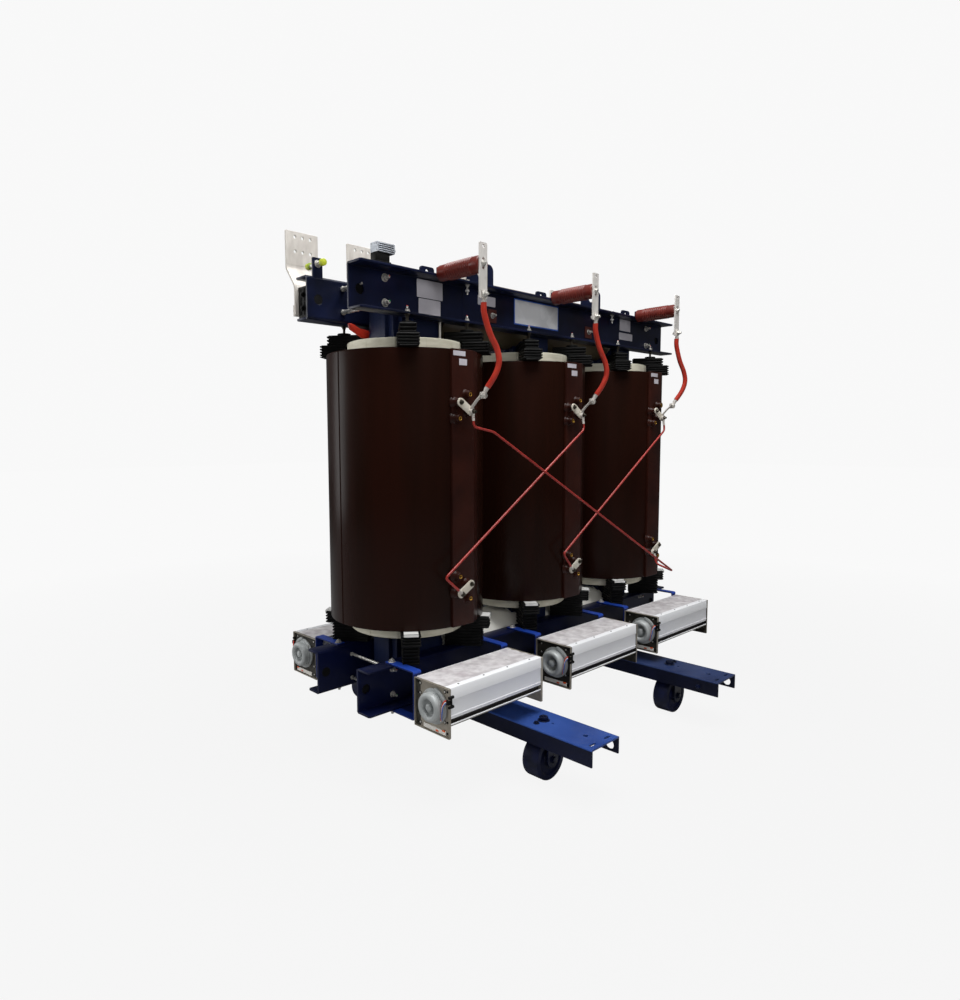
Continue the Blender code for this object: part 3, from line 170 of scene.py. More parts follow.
# The recessed groove of the front wall is near-black as painted shade.
GROOVE_PAINTED_SHADE = material('fan_groove', '2a282c 3a3634', metal=0.3, grain=9)
SENSOR = material('sensor_aluminium', 'b2b8c0 d0d5dc', 0.3, metal=0.45, grain=30, stretch=(1, 1, 5),
                  bump=(0.2, 300))
FILM = material('protective_film', 'c4bfc1 e8e5e6', 0.35, coat=0.25, coat_rough=0.15, grain=30, bump=(0.6, 45),
                depth=0.002, dirt_and_sheen=('b3a9ae', 0.06))
# The end plates' near-black tone is painted shade; the lighter plate tone below is their own colour, with real
# wear.
TRAY_PAINTED_SHADE = material('fan_plate_painted_shade', '171614 3a372f', 0.45, metal=0.2, grain=30, bump=(0.25, 60),
                     dirt_and_sheen=('6a6558', 0.02))
TRAY = material('fan_plate', '8a8377 a8a195', 0.38, metal=0.3, grain=16, bump=(0.25, 60), dirt_and_sheen=('5a5248', 0.08))
MOTOR = material('motor_casting', 'a2a6a6 b3b7b7', metal=0.2, grain=20, bump=(0.35, 320))
BLADES = material('blade_aluminium', '8d8f92 a2a4a6', 0.4, metal=0.8)
LABEL = material('blank_label', 'c6c3ca d4d1d8', 0.45, grain=12)
PLATE = material('blank_plate', 'e8eaec f2f3f5', 0.3, coat=0.3, grain=8)
EDGE = material('plate_edge', '2f5cba 3a68c6', 0.35, grain=12)
PRIMER = material('primer_pad', '4a1f18 572820', grain=30)
EARTH = material('earth_wrap', 'a9b52a c6cf3c', 0.45, grain=60, dirt_and_sheen=('4f8f3a', 0.06))
ORANGE = material('orange_mark', 'd8501c e46028', grain=30)
RED = material('wire_red', 'b82c1c c83824', 0.4, grain=30)
GREEN = material('mark_green', '2f8f4a 3da05a', grain=30)
BLUE = material('wire_blue', '3f5fae 4a6cc0', 0.4, grain=30)
CREAM = material('sleeve_white', 'dedad2 ebe8e2', grain=30)

# Shapes: each helper gives a closed bmesh, and a Piece gathers them


def loft(rings, closed=False):
    """Skins equal rings of points in turn. closed joins the last ring to the first."""
    shape = bmesh.new()
    rows = [[shape.verts.new(p) for p in ring] for ring in rings]
    count = len(rows[0])
    pairs = list(zip(rows, rows[1:]))
    if closed:
        pairs.append((rows[-1], rows[0]))
    else:
        shape.faces.new(rows[0][::-1])
        shape.faces.new(rows[-1])
    for low, high in pairs:
        for i in range(count):
            j = (i + 1) % count
            shape.faces.new((low[i], low[j], high[j], high[i]))
    bmesh.ops.recalc_face_normals(shape, faces=shape.faces)
    return shape


def placed(axis, p, along):
    """A point of an outline, put in space: along X it is (y, z), along Y (x, z), along Z (x, y)."""
    if axis == 'X':
        return (along, p[0], p[1])
    if axis == 'Y':
        return (p[0], along, p[1])
    return (p[0], p[1], along)


def prism(outline, axis, start, end):
    return loft([[placed(axis, p, start) for p in outline], [placed(axis, p, end) for p in outline]])


def box(x, y, z):
    return prism(((x[0], y[0]), (x[1], y[0]), (x[1], y[1]), (x[0], y[1])), 'Z', z[0], z[1])


def circle(centre, radius, sides=24):
    return [(centre[0] + radius * cos(2 * pi * i / sides), centre[1] + radius * sin(2 * pi * i / sides))
            for i in range(sides)]


def bend(centre, radius, start, stop, steps):
    """Points of an arc, its angles in half turns."""
    angles = [pi * (start + (stop - start) * i / steps) for i in range(steps + 1)]
    return [(centre[0] + radius * cos(angle), centre[1] + radius * sin(angle)) for angle in angles]


def drum(axis, centre, start, end, radius, sides=24):
    """A round bar, its radius in mm."""
    return prism(circle(centre, radius * MM, sides), axis, start, end)


def turned(profile, axis, centre, sides=48, closed=False):
    """A profile of (radius, along) turned round an axis."""
    rings = [[placed(axis, p, along) for p in circle(centre, max(radius, 0.0001), sides)]
             for radius, along in profile]
    return loft(rings, closed)


def plate(outline, holes, axis, start, end):
    """A flat plate with holes, each a closed loop of points."""
    shape = bmesh.new()
    edges = []
    for loop in [outline] + list(holes):
        verts = [shape.verts.new(placed(axis, p, start)) for p in loop]
        edges += [shape.edges.new((verts[i], verts[(i + 1) % len(verts)])) for i in range(len(verts))]
    bmesh.ops.triangle_fill(shape, use_beauty=True, use_dissolve=False, edges=edges)
    grown = bmesh.ops.extrude_face_region(shape, geom=list(shape.faces))
    moved = [v for v in grown['geom'] if isinstance(v, bmesh.types.BMVert)]
    bmesh.ops.translate(shape, verts=moved, vec=Vector(placed(axis, (0, 0), end - start)))
    bmesh.ops.recalc_face_normals(shape, faces=shape.faces)
    return shape


def tube(route, radius, sides=14):
    route = [Vector(p) for p in route]
    radii = radius if isinstance(radius, list) else [radius] * len(route)
    side = (route[1] - route[0]).normalized().orthogonal()
    rings = []
    for i, centre in enumerate(route):
        way = (route[min(i + 1, len(route) - 1)] - route[max(i - 1, 0)]).normalized()
        side = (side - way * side.dot(way)).normalized()
        up = way.cross(side)
        rings.append([centre + side * a + up * b for a, b in circle((0, 0), radii[i], sides)])
    return loft(rings)


def flowing(route, steps=6):
    """A smooth curve through every point."""
    pts = [Vector(p) for p in route]
    pts = [pts[0] * 2 - pts[1]] + pts + [pts[-1] * 2 - pts[-2]]
    out = []
    for a, b, c, d in zip(pts, pts[1:], pts[2:], pts[3:]):
        for i in range(steps):
            t = i / steps
            out.append((b * 2 + (c - a) * t + (a * 2 - b * 5 + c * 4 - d) * t ** 2
                        + (b * 3 - a - c * 3 + d) * t ** 3) * 0.5)
    return out + [pts[-2]]


def softened(route, soft, steps=6):
    """The route with each corner replaced by a short curve."""
    route = [Vector(p) for p in route]
    out = [route[0]]
    for before, corner, after in zip(route, route[1:], route[2:]):
        first = corner + (before - corner).normalized() * min(soft, (corner - before).length * 0.45)
        last = corner + (after - corner).normalized() * min(soft, (after - corner).length * 0.45)
        for i in range(steps + 1):
            t = i / steps
            out.append(first * (1 - t) ** 2 + corner * (2 * t * (1 - t)) + last * t ** 2)
    return out + [route[-1]]


def rounded(x0, z0, x1, z1, radius, steps=4):
    """The outline of a rectangle with round corners."""
    corners = ((x1 - radius, z0 + radius, -0.5), (x1 - radius, z1 - radius, 0), (x0 + radius, z1 - radius, 0.5),
               (x0 + radius, z0 + radius, 1))
    return [p for x, z, start in corners for p in bend((x, z), radius, start, start + 0.5, steps)]


def scaled(points):
    """Points given in mm, in metres."""
    return [tuple(v * MM for v in p) for p in points]


def sided(side, near, far):
    return tuple(sorted((side * near, side * far)))


BEVEL_ANGLE = radians(28)
SHARP_ANGLE = radians(32)


class Piece:
    """Closed shapes in one mesh object of one material, which rides on a body."""

    def __init__(self, name, mat, body='frame'):
        self.name = name
        self.mat = mat
        self.body = body
        self.mesh = bpy.data.meshes.new(name)
        self.all = bmesh.new()

    def add(self, shape, bevel=0.0, segments=2):
        """Adds a shape, its sharp edges broken by a bevel in mm."""
        if bevel:
            edges = [e for e in shape.edges if e.is_manifold and e.calc_face_angle() > BEVEL_ANGLE]
            bmesh.ops.bevel(shape, geom=edges, offset=bevel * MM, segments=segments, profile=0.5, affect='EDGES',
                            clamp_overlap=True)
        shape.to_mesh(self.mesh)
        shape.free()
        self.all.from_mesh(self.mesh)

    def done(self, *nodes, slot=None):
        self.all.to_mesh(self.mesh)
        self.all.free()
        self.mesh.shade_smooth()
        self.mesh.set_sharp_from_angle(angle=SHARP_ANGLE)
        self.mesh.materials.append(self.mat)
        made = bpy.data.objects.new(self.name, self.mesh)
        bpy.context.scene.collection.objects.link(made)
        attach(made, self.body)
        if nodes:
            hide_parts(*nodes)


def pieces(pattern, *pairs):
    """A piece for each word and material, its name made from the pattern."""
    return [Piece(pattern % word, mat) for word, mat in pairs]


WASHER = 2 * MM
WASHER_SHARE = 1.35
THREAD_PITCH = 1.2 * MM
THREAD_SHARES = (0.5, 0.55)


def hex_bolt(piece, axis, centre, face, way, radius, thick, stud=0, washer=True):
    """A nut with washer and stud end on a face. way is FORWARD or BACK, and the last sizes are in mm."""
    thick, stud = thick * MM, stud * MM
    if washer:
        piece.add(drum(axis, centre, face, face + way * WASHER, radius * WASHER_SHARE, 20), 0.4, 1)
        face += way * WASHER
    piece.add(drum(axis, centre, face, face + way * thick, radius, 6), 0.8)
    if stud:
        start = face + way * (thick - MM)
        rows = max(2, int(stud / THREAD_PITCH))
        radii = [radius * MM * share for share in THREAD_SHARES]
        profile = [(radii[i % 2], start + way * (stud + MM) * i / rows) for i in range(rows + 1)]
        piece.add(turned(profile, axis, centre, 12))


# Core

for name in ('limb_left', 'limb_middle', 'limb_right', 'yoke_top', 'yoke_bottom'):
    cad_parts[name].data.materials.clear()
    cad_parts[name].data.materials.append(LIMB)

YOKE_HALF = 0.560
YOKE_RADIUS, YOKE_FLAT_Y, YOKE_FLAT_Z = 0.1378, 0.1226, 0.1302


def core_outline(centre, points=72):
    """The round section of a yoke: a circle cut flat above, below, in front and behind."""
    outline = []
    for k in range(points):
        angle = 2 * pi * (k + 0.5) / points
        y = min(max(YOKE_RADIUS * cos(angle), -YOKE_FLAT_Y), YOKE_FLAT_Y)
        z = min(max(YOKE_RADIUS * sin(angle), -YOKE_FLAT_Z), YOKE_FLAT_Z)
        outline.append((y, centre + z))
    return outline


# The upper yoke's dark lacquer is painted shade, and the lower yoke's near-white one is painted light.
for name, centre, lacquer in (('yoke_top', 1.760, YOKE_TOP_PAINTED_SHADE), ('yoke_bottom', 0.3585, YOKE_PAINTED_LIGHT)):
    yoke = Piece(name + '_lacquer', lacquer)
    yoke.add(prism(core_outline(centre), 'X', -YOKE_HALF, YOKE_HALF))
    yoke.done(slot='core_lacquer')

# Coils

BOSS_X = (-26.4 * MM, 24.8 * MM)
TOP_BOSSES = ((1.376, 1.319), (1.3435, 1.405))
BOTTOM_BOSSES = ((0.6917, 0.7538), (0.7207, 0.6670))
BOSS_FACE = -0.330
LINK_FACE = -0.335
LINK_RADIUS = 15 * MM
BOSS_STEPS = scaled(((24, -300), (19, -307.5), (16, -311), (14.5, -318), (13.5, -328.5), (12.5, -330)))
INSERT_RING = scaled(((7.5, -329), (7.5, -331), (6.8, -331.4), (4.6, -331.4), (4.2, -330.8), (4.2, -329)))
PANEL_OUTLINE = scaled(((-42, -268), (-42, -307), (63, -307), (112, -278.5), (96, -262)))
COIL_LABELS = ((-38, 1540, 22, 1557), (-9, 1508, 30, 1530))
HV_SEAMS = (177, 3)


def link_plate(first, last):
    """A strip with round ends between two studs."""
    along = (last - first).normalized()
    up = Vector((-along.y, along.x))
    outline = []
    for centre, start in ((last, -0.5), (first, 0.5)):
        for a, b in bend((0, 0), LINK_RADIUS, start, start + 1, 12):
            outline.append(tuple(centre + along * a + up * b))
    return prism(outline, 'Y', LINK_FACE, BOSS_FACE + 0.5 * MM)


def hv_coil(number, x):
    low, high, outer, inner, soft = 0.564, 1.564, 0.300, 0.245, 5 * MM
    body = Piece('coil_%d_body' % number, RESIN)
    mid = soft * 0.3
    profile = [(outer - soft, low), (outer - mid, low + mid), (outer, low + soft), (outer, high - soft),
               (outer - mid, high - mid), (outer - soft, high), (inner + soft, high), (inner, high - soft),
               (inner, low + soft), (inner + soft, low)]
    body.add(turned(profile, 'Z', (x, 0), 128, True))
    for angle in HV_SEAMS:
        spot = (x + outer * cos(radians(angle)), outer * sin(radians(angle)))
        body.add(drum('Z', spot, low + 3 * MM, high - 3 * MM, 2.2, 8))
    body.done('hv_coil_%d' % number, slot='cast_resin')
    # The raised panel and bosses take the panel resin, whose lighter tone and reddish patches are painted
    # reflection.
    panel = Piece('coil_%d_panel' % number, PANEL_PAINTED_SHEEN)
    panel.add(prism([(x + a, b) for a, b in PANEL_OUTLINE], 'Z', low + 1 * MM, high + 0.3 * MM), 2.5, 3)
    metal = Piece('coil_%d_links' % number, LINK)
    bolts = Piece('coil_%d_bolts' % number, DARK_BOLT)
    brass = Piece('coil_%d_inserts' % number, BRASS)
    for heights, lead_side in ((TOP_BOSSES, 1), (BOTTOM_BOSSES, 0)):
        for side in (0, 1):
            for z in heights[side]:
                panel.add(turned(BOSS_STEPS, 'Y', (x + BOSS_X[side], z), 32))
            brass.add(turned(INSERT_RING, 'Y', (x + BOSS_X[side], heights[side][1]), 24, True))
        ends = [Vector((x + BOSS_X[side], heights[side][0])) for side in (0, 1)]
        metal.add(link_plate(*ends), 0.8)
        lead_lift = 11 * MM if lead_side else 5.6 * MM
        for side in (0, 1):
            lift, stud = (lead_lift, 4) if side == lead_side else (0, 2)
            hex_bolt(bolts, 'Y', tuple(ends[side]), LINK_FACE - lift, BACK, 7, 6, stud)
    panel.done(slot='cast_resin')
    metal.done(slot='tinned_bar')
    bolts.done(slot='zinc_steel')
    brass.done(slot='tinned_bar')
    marks = Piece('coil_%d_labels' % number, LABEL)
    for a, b, c, d in COIL_LABELS:
        marks.add(plate(rounded(x + a * MM, b * MM, x + c * MM, d * MM, 1.5 * MM), (), 'Y', -0.3076, -0.3068))
    marks.done()


def lv_coil(number, x):
    low, high, outer, inner, soft = 0.516, 1.608, 0.220, 0.151, 2 * MM
    body = Piece('winding_%d' % number, WINDING)
    profile = [(outer - soft, low), (outer, low + soft), (outer, high - soft), (outer - soft, high),
               (inner + soft, high), (inner, high - soft), (inner, low + soft), (inner + soft, low)]
    body.add(turned(profile, 'Z', (x, 0), 96, True))
    ridges, reach = 12, outer - 0.6 * MM
    for k in range(ridges):
        angle = 2 * pi * (k + 0.35) / ridges
        spot = (x + reach * cos(angle), reach * sin(angle))
        body.add(drum('Z', spot, low + 2 * MM, high - 2 * MM, 2, 6))
    body.done('lv_coil_%d' % number, slot='lv_insulation')


for number, x in enumerate(COIL_X, 1):
    hv_coil(number, x)
    lv_coil(number, x)

# Clamps and what is fixed to them

TOP = dict(half=1.0147, web_in=0.1228, web_out=0.131, tip=0.200, low=1.683, high=1.840, hole=1.757)
BOTTOM = dict(half=1.0025, web_in=0.1228, web_out=0.132, tip=0.195, low=0.2765, high=0.4406, hole=0.358)
THICK = 8 * MM
HOLE_X = 0.967
LIFT_X = 0.375
JACK_X, JACK_Y = 0.148, 0.190
LV_X = dict(n=-0.922, a=-0.640, b=0.020, c=0.680)


def channel(paint, black, side, size):
    """A folded channel: web and flanges joined by round bends, with black discs in the web's end holes as painted
    shade.
    """
    curve, corner = 10 * MM, 6 * MM
    half, low, high, tip = size['half'], size['low'], size['high'], size['tip']
    inner = size['web_in'] + curve
    spots = [(hand * HOLE_X, size['hole']) for hand in SIDES]
    outline = [(-half, low + curve), (half, low + curve), (half, high - curve), (-half, high - curve)]
    holes = [circle(spot, 18 * MM, 32) for spot in spots]
    paint.add(plate(outline, holes, 'Y', *sided(side, size['web_in'], size['web_out'])), 0.8, 1)
    for z in (low, high - THICK):
        outline = [(-half, side * inner), (half, side * inner), (half, side * (tip - corner)),
                   (half - corner, side * tip), (corner - half, side * tip), (-half, side * (tip - corner))]
        paint.add(plate(outline, (), 'Z', z, z + THICK), 1.2)
    for z, start in ((low + curve, 1.0), (high - curve, 0.5)):
        outline = bend((inner, z), curve, start, start + 0.5, 6)
        outline += bend((inner, z), curve - THICK, start + 0.5, start, 6)
        paint.add(prism([(side * a, b) for a, b in outline], 'X', -half, half))
    # Black discs in the end holes: painted shade.
    for spot in spots:
        black.add(drum('Y', spot, *sided(side, 0.1232, 0.1250), 18.5, 32))


def radial(x, way, reach, half_width, z):
    """A block that points away from a coil's axis."""
    out = Vector(way)
    flat = Vector((-out.y, out.x))
    corners = [Vector((x, 0)) + out * a + flat * b for a, b in (
        (reach[0], -half_width), (reach[1], -half_width), (reach[1], half_width), (reach[0], half_width))]
    return prism([tuple(p) for p in corners], 'Z', z[0], z[1])


TOP_TIERS = (((0.226, 0.328), (1.5678, 1.610), 4, 39 * MM), ((0.156, 0.302), (1.6085, 1.648), 3, 30 * MM))
LOW_TIERS = (((0.226, 0.328), (0.514, 0.5602), 4, 35 * MM), ((0.156, 0.302), (0.4408, 0.5155), 6, 31 * MM))


def support_block(black, white, x, side, hand, tiers):
    """A ribbed block in two steps: over the outer coil, and over the inner one."""
    away = hypot(JACK_X, JACK_Y)
    way = (hand * JACK_X / away, side * JACK_Y / away)
    spot = (x + hand * JACK_X, side * JACK_Y)
    for reach, z, ribs, wide in tiers:
        black.add(radial(x, way, (reach[0], reach[1] - 6 * MM), wide - 4 * MM, z))
        pitch = (z[1] - z[0]) / ribs
        for i in range(ribs):
            start = z[0] + i * pitch
            black.add(radial(x, way, reach, wide, (start + pitch * 0.2, start + pitch * 0.75)), 1.4, 1)
    if tiers is TOP_TIERS:
        black.add(radial(x, way, (0.252, 0.331), 30 * MM, (1.5643, 1.5680)), 1, 1)
        black.add(drum('Z', spot, 1.647, 1.656, 26), 1.5)
    else:
        white.add(radial(x, way, (0.262, 0.3325), 26 * MM, (0.5600, 0.5637)), 1, 1)
        white.add(radial(x, way, (0.3285, 0.3325), 26 * MM, (0.553, 0.5637)), 1, 1)
    return spot


def eye_plate(paint, side, x, half, foot, top, soft, hole, depth, bevel):
    """An upright plate with round top corners. soft is (radius, steps) and hole (height, radius, sides)."""
    outline = [p for p in rounded(x - half, foot, x + half, top, *soft) if p[1] > (foot + top) / 2]
    outline += [(x - half, foot), (x + half, foot)]
    paint.add(plate(outline, [circle((x, hole[0]), *hole[1:])], 'Y', *sided(side, *depth)), bevel, 1)


SHEET_X = (-0.479, 0.516)
CLAMP_PADS = ((-0.336, -0.286), (0.324, 0.376))
CLAMP_LABELS = scaled(((-711, 1764, -583, 1829), (-703, 1698, -594, 1761), (-393, 1776, -291, 1814),
                       (617, 1777, 713, 1832), (613, 1733, 733, 1767)))


def front_fittings(paint, steel):
    """Insulator brackets, the thin sheet, bolted pads and bare labels of the front upper clamp."""
    for x in COIL_X:
        middle = x + 7 * MM
        bracket = rounded(middle - 0.020, 1.828, middle + 0.020, 1.864, 5 * MM)
        paint.add(plate(bracket, (), 'Y', -0.2025, -0.1945), 1, 1)
    paint.add(box(SHEET_X, (-0.1322, -0.1305), (1.694, 1.829)), 0.6, 1)
    pads = Piece('clamp_pads', PRIMER)
    for a, b in CLAMP_PADS:
        pads.add(box((a, b), (-0.1355, -0.1315), (1.713, 1.766)), 1, 1)
        hex_bolt(steel, 'Y', ((a + b) / 2, 1.741), -0.1355, BACK, 9, 8, 10)
    pads.done()
    marks = Piece('clamp_labels', LABEL)
    for label in CLAMP_LABELS:
        face = -0.1328 if SHEET_X[0] < label[0] < SHEET_X[1] else -0.1316
        marks.add(plate(rounded(*label, 3 * MM), (), 'Y', face, -0.1308))
    marks.done()
    steel.add(tube([(-0.9650, -0.100, 1.7720), (-0.9575, -0.132, 1.7765)], 4.5 * MM, 16), 0.8)


def rear_fittings(paint, steel, black):
    """The earthing bracket and the black stands of the rear upper clamp."""
    stud = (-0.967, 1.884)
    faces = (0.1234, 0.1304)
    paint.add(plate(rounded(-0.988, 1.830, -0.946, 1.906, 4 * MM), [circle(stud, 8 * MM)], 'Y', *faces), 1, 1)
    steel.add(drum('Y', stud, 0.084, 0.186, 7.5, 20), 1)
    for face, way in zip(faces, SIDES):
        hex_bolt(steel, 'Y', stud, face, way, 10, 7)
    wrap = Piece('earth_wraps', EARTH)
    for start, stop in ((0.080, 0.098), (0.170, 0.190)):
        wrap.add(drum('Y', stud, start, stop, 12.5, 20), 2)
    wrap.done()
    half, rib_half = 0.058, 0.060
    for x in LV_X.values():
        black.add(box((x - half, x + half), (0.1312, 0.2385), (1.700, 1.816)), 2.5)
        for z in (1.735, 1.785):
            hex_bolt(black, 'X', (0.205, z), x - half, BACK, 10, 6, 4)
            for rib in range(4):
                y = 0.150 + rib * 0.022
                black.add(box((x - rib_half, x + rib_half), (y, y + 0.008), (z - 0.024, z + 0.024)), 2, 1)


def top_clamp(side, end):
    paint, black, white, steel, nuts, tips = pieces(
        'top_%s_' + end, ('clamp', NAVY), ('blocks', BLACK), ('pads', WHITE), ('bolts', ZINC),
        ('jack_nuts', DARK_BOLT), ('bolt_tips', RED))
    channel(paint, black, side, TOP)
    low, high = TOP['low'], TOP['high']
    for x in COIL_X:
        for hand in SIDES:
            spot = support_block(black, white, x, side, hand, TOP_TIERS)
            nuts.add(drum('Z', spot, 1.650, 1.702, 5, 16))
            hex_bolt(nuts, 'Z', spot, low, BACK, 8.2, 7)
            hex_bolt(steel, 'Z', spot, low + THICK, FORWARD, 8.2, 7, 10)
            tips.add(drum('Z', spot, 1.7095, 1.7125, 2.6, 12), 0.8, 1)
        eye_plate(paint, side, x - 0.010, 0.034, 1.836, 1.875, (11 * MM, 5), (1.858, 9 * MM), (0.136, 0.144), 0.8)
    for hand in SIDES:
        eye_plate(paint, side, hand * LIFT_X, 0.075, 1.834, 1.941, (26 * MM, 6), (1.902, 20 * MM, 32),
                  (0.1232, 0.1306), 1)
        spot = (hand * 0.49, side * 0.170)
        hex_bolt(steel, 'Z', spot, high - THICK, BACK, 8, 6, 30)
        white.add(drum('Z', spot, 1.806, 1.813, 8.5, 16), 1, 1)
        hex_bolt(steel, 'Z', spot, high, FORWARD, 10, 7)
    if side < 0:
        front_fittings(paint, steel)
    else:
        rear_fittings(paint, steel, black)
    nuts.done(slot='zinc_steel')
    tips.done()
    paint.done('clamp_top_' + end, slot='clamp_paint')
    black.done(slot='clamp_paint')
    white.done()
    steel.done(slot='zinc_steel')


STRAP_X = ((-0.235, -0.200), (0.216, 0.251))
STRAP_BENDS = ((0.3002, 0.4382), (0.3002, 0.2790))
STRAP_LOOP = ([(0.150, 0.4462)] + bend(STRAP_BENDS[0], 8 * MM, 0.5, 0, 5)
              + bend(STRAP_BENDS[1], 8 * MM, 0, -0.5, 5)
              + [(0.150, 0.2710), (0.150, 0.2764), (0.3012, 0.2764), (0.3028, 0.2780), (0.3028, 0.4392),
                 (0.3012, 0.4408), (0.150, 0.4408)])
# A thin cap in the lighter tone over each strap's top and upper bend: painted light.
STRAP_CAP = (bend(STRAP_BENDS[0], 8.4 * MM, 0.5, 0, 6) + [(0.3078, 0.4382)]
             + bend(STRAP_BENDS[0], 7.8 * MM, 0, 0.5, 6)[1:] + [(0.1505, 0.4460), (0.1505, 0.4466)])


def bottom_clamp(side, end):
    paint, black, white, steel, straps, tops = pieces(
        '%s_' + end, ('bottom_clamp', NAVY_LOW), ('bottom_blocks', BLACK), ('bottom_pads', WHITE),
        ('bottom_bolts', ZINC), ('fan_straps', STRAP_PAINTED_SHADE), ('fan_strap_tops', STRAP_PAINTED_LIT))
    channel(paint, black, side, BOTTOM)
    over = 0.2 * MM
    for x in COIL_X:
        for hand in SIDES:
            support_block(black, white, x, side, hand, LOW_TIERS)
        for a, b in STRAP_X:
            # Strap sides in painted shade, their tops capped in painted light.
            straps.add(prism([(side * p, q) for p, q in STRAP_LOOP], 'X', x + a, x + b), 0.6, 1)
            tops.add(prism([(side * p, q) for p, q in STRAP_CAP], 'X', x + a - over, x + b + over))
            if a < 0:
                foot = box((x + b - MM, x + b + 0.075), sided(side, 0.150, 0.300), (0.2712, 0.2762))
                paint.add(foot, 0.5, 1)
            middle = (x + (a + b) / 2, side * 0.168)
            hex_bolt(steel, 'Z', middle, 0.4462, FORWARD, 10, 7, 3)
            hex_bolt(steel, 'Z', middle, 0.2710, BACK, 10, 7, 8)
    paint.done('clamp_bottom_' + end, slot='clamp_paint')
    straps.done(slot='rail_paint')
    tops.done(slot='rail_paint')
    black.done(slot='clamp_paint')
    white.done()
    steel.done(slot='zinc_steel')


for side, end in ENDS:
    top_clamp(side, end)
    bottom_clamp(side, end)

rim = Piece('nameplate_rim', EDGE)
rim.add(plate(rounded(-0.176, 1.723, 0.122, 1.829, 3 * MM), (), 'Y', -0.1332, -0.1313))
rim.done()
face = Piece('nameplate_face', PLATE)
face.add(plate(rounded(-0.171, 1.728, 0.117, 1.824, 2 * MM), (), 'Y', -0.1338, -0.1325))
face.done('nameplate', slot='plate_metal')

TIE_RODS = (('top', 0.860, (1.809, 1.723), TOP, 8), ('bottom', 0.848, (0.404, 0.309), BOTTOM, 5.5))


def tie_rod(tag, spot, web, radius, mark):
    """A rod with nuts on both sides of both webs, and a dab of paint on its front end. radius is in mm."""
    rod = Piece('rod_' + tag, ZINC)
    rod.add(drum('Y', spot, -web - 10 * MM, web + 10 * MM, radius, 20))
    for side in SIDES:
        hex_bolt(rod, 'Y', spot, side * (web + 0.3 * MM), side, radius + 3, 10, 13)
        hex_bolt(rod, 'Y', spot, side * 0.1225, -side, radius + 3, 8, washer=False)
    rod.done('tie_rod_' + tag, slot='zinc_steel')
    dab = Piece('dab_' + tag, mark)
    centre = (spot[0] + 2 * MM, spot[1] + 3 * MM)
    dab.add(drum('Y', centre, -web - 25.5 * MM, -web - 22 * MM, radius * 0.4, 12), 0.8, 1)
    dab.done()


for level, rod_x, heights, clamp, radius in TIE_RODS:
    for hand, label in HANDS:
        for z, high, mark in zip(heights, ('upper', 'lower'), (RED, GREEN)):
            tie_rod('%s_%s_%s' % (level, label, high), (hand * rod_x, z), clamp['web_out'], radius, mark)

# High-voltage insulators, bars and leads

BAR_HALF = 19 * MM
BAR_FRONT, BAR_BACK = -0.410, -0.405
BAR_BOLT_Z = 1.7375
LEAD_BOLT = (-0.379, 1.399)
LEAD_ROUTE = ((10, -408, 1712), (13, -408, 1676), (34, -414, 1612), (62, -422, 1559), (70, -425, 1514),
              (60, -414, 1467), (38, -384, 1410))
LEAD_ARM = ((24.8, -337.9, 1343.5), (24.8, -337.9, 1352), (24.8, -340, 1362), (27, -357, 1381), (30, -375, 1397),
            (31.5, -384, 1405))
LEAD_EYE = ((-0.391, 1.412), (-0.367, 1.412), (-0.366, 1.388), (-0.392, 1.388))
ARM_SECTION = scaled(((-8, -2), (8, -2), (8, 2), (-8, 2)))
RIBS, RIB_PITCH = 12, 10.5
RIB_PROFILE = ((28.4, 1), (28.4, 2.2), (30.6, 4.2), (30.9, 6), (30.6, 7.8), (28.6, 9.8))


def arm(points):
    """A flat twisted strip along a route."""
    rings = []
    for i, p in enumerate(points):
        way = (points[min(i + 1, len(points) - 1)] - points[max(i - 1, 0)]).normalized()
        flat = Vector((1, 0.1, 0)).normalized()
        flat = (flat - way * flat.dot(way)).normalized()
        thin = way.cross(flat)
        rings.append([p + flat * a + thin * b for a, b in ARM_SECTION])
    return loft(rings)


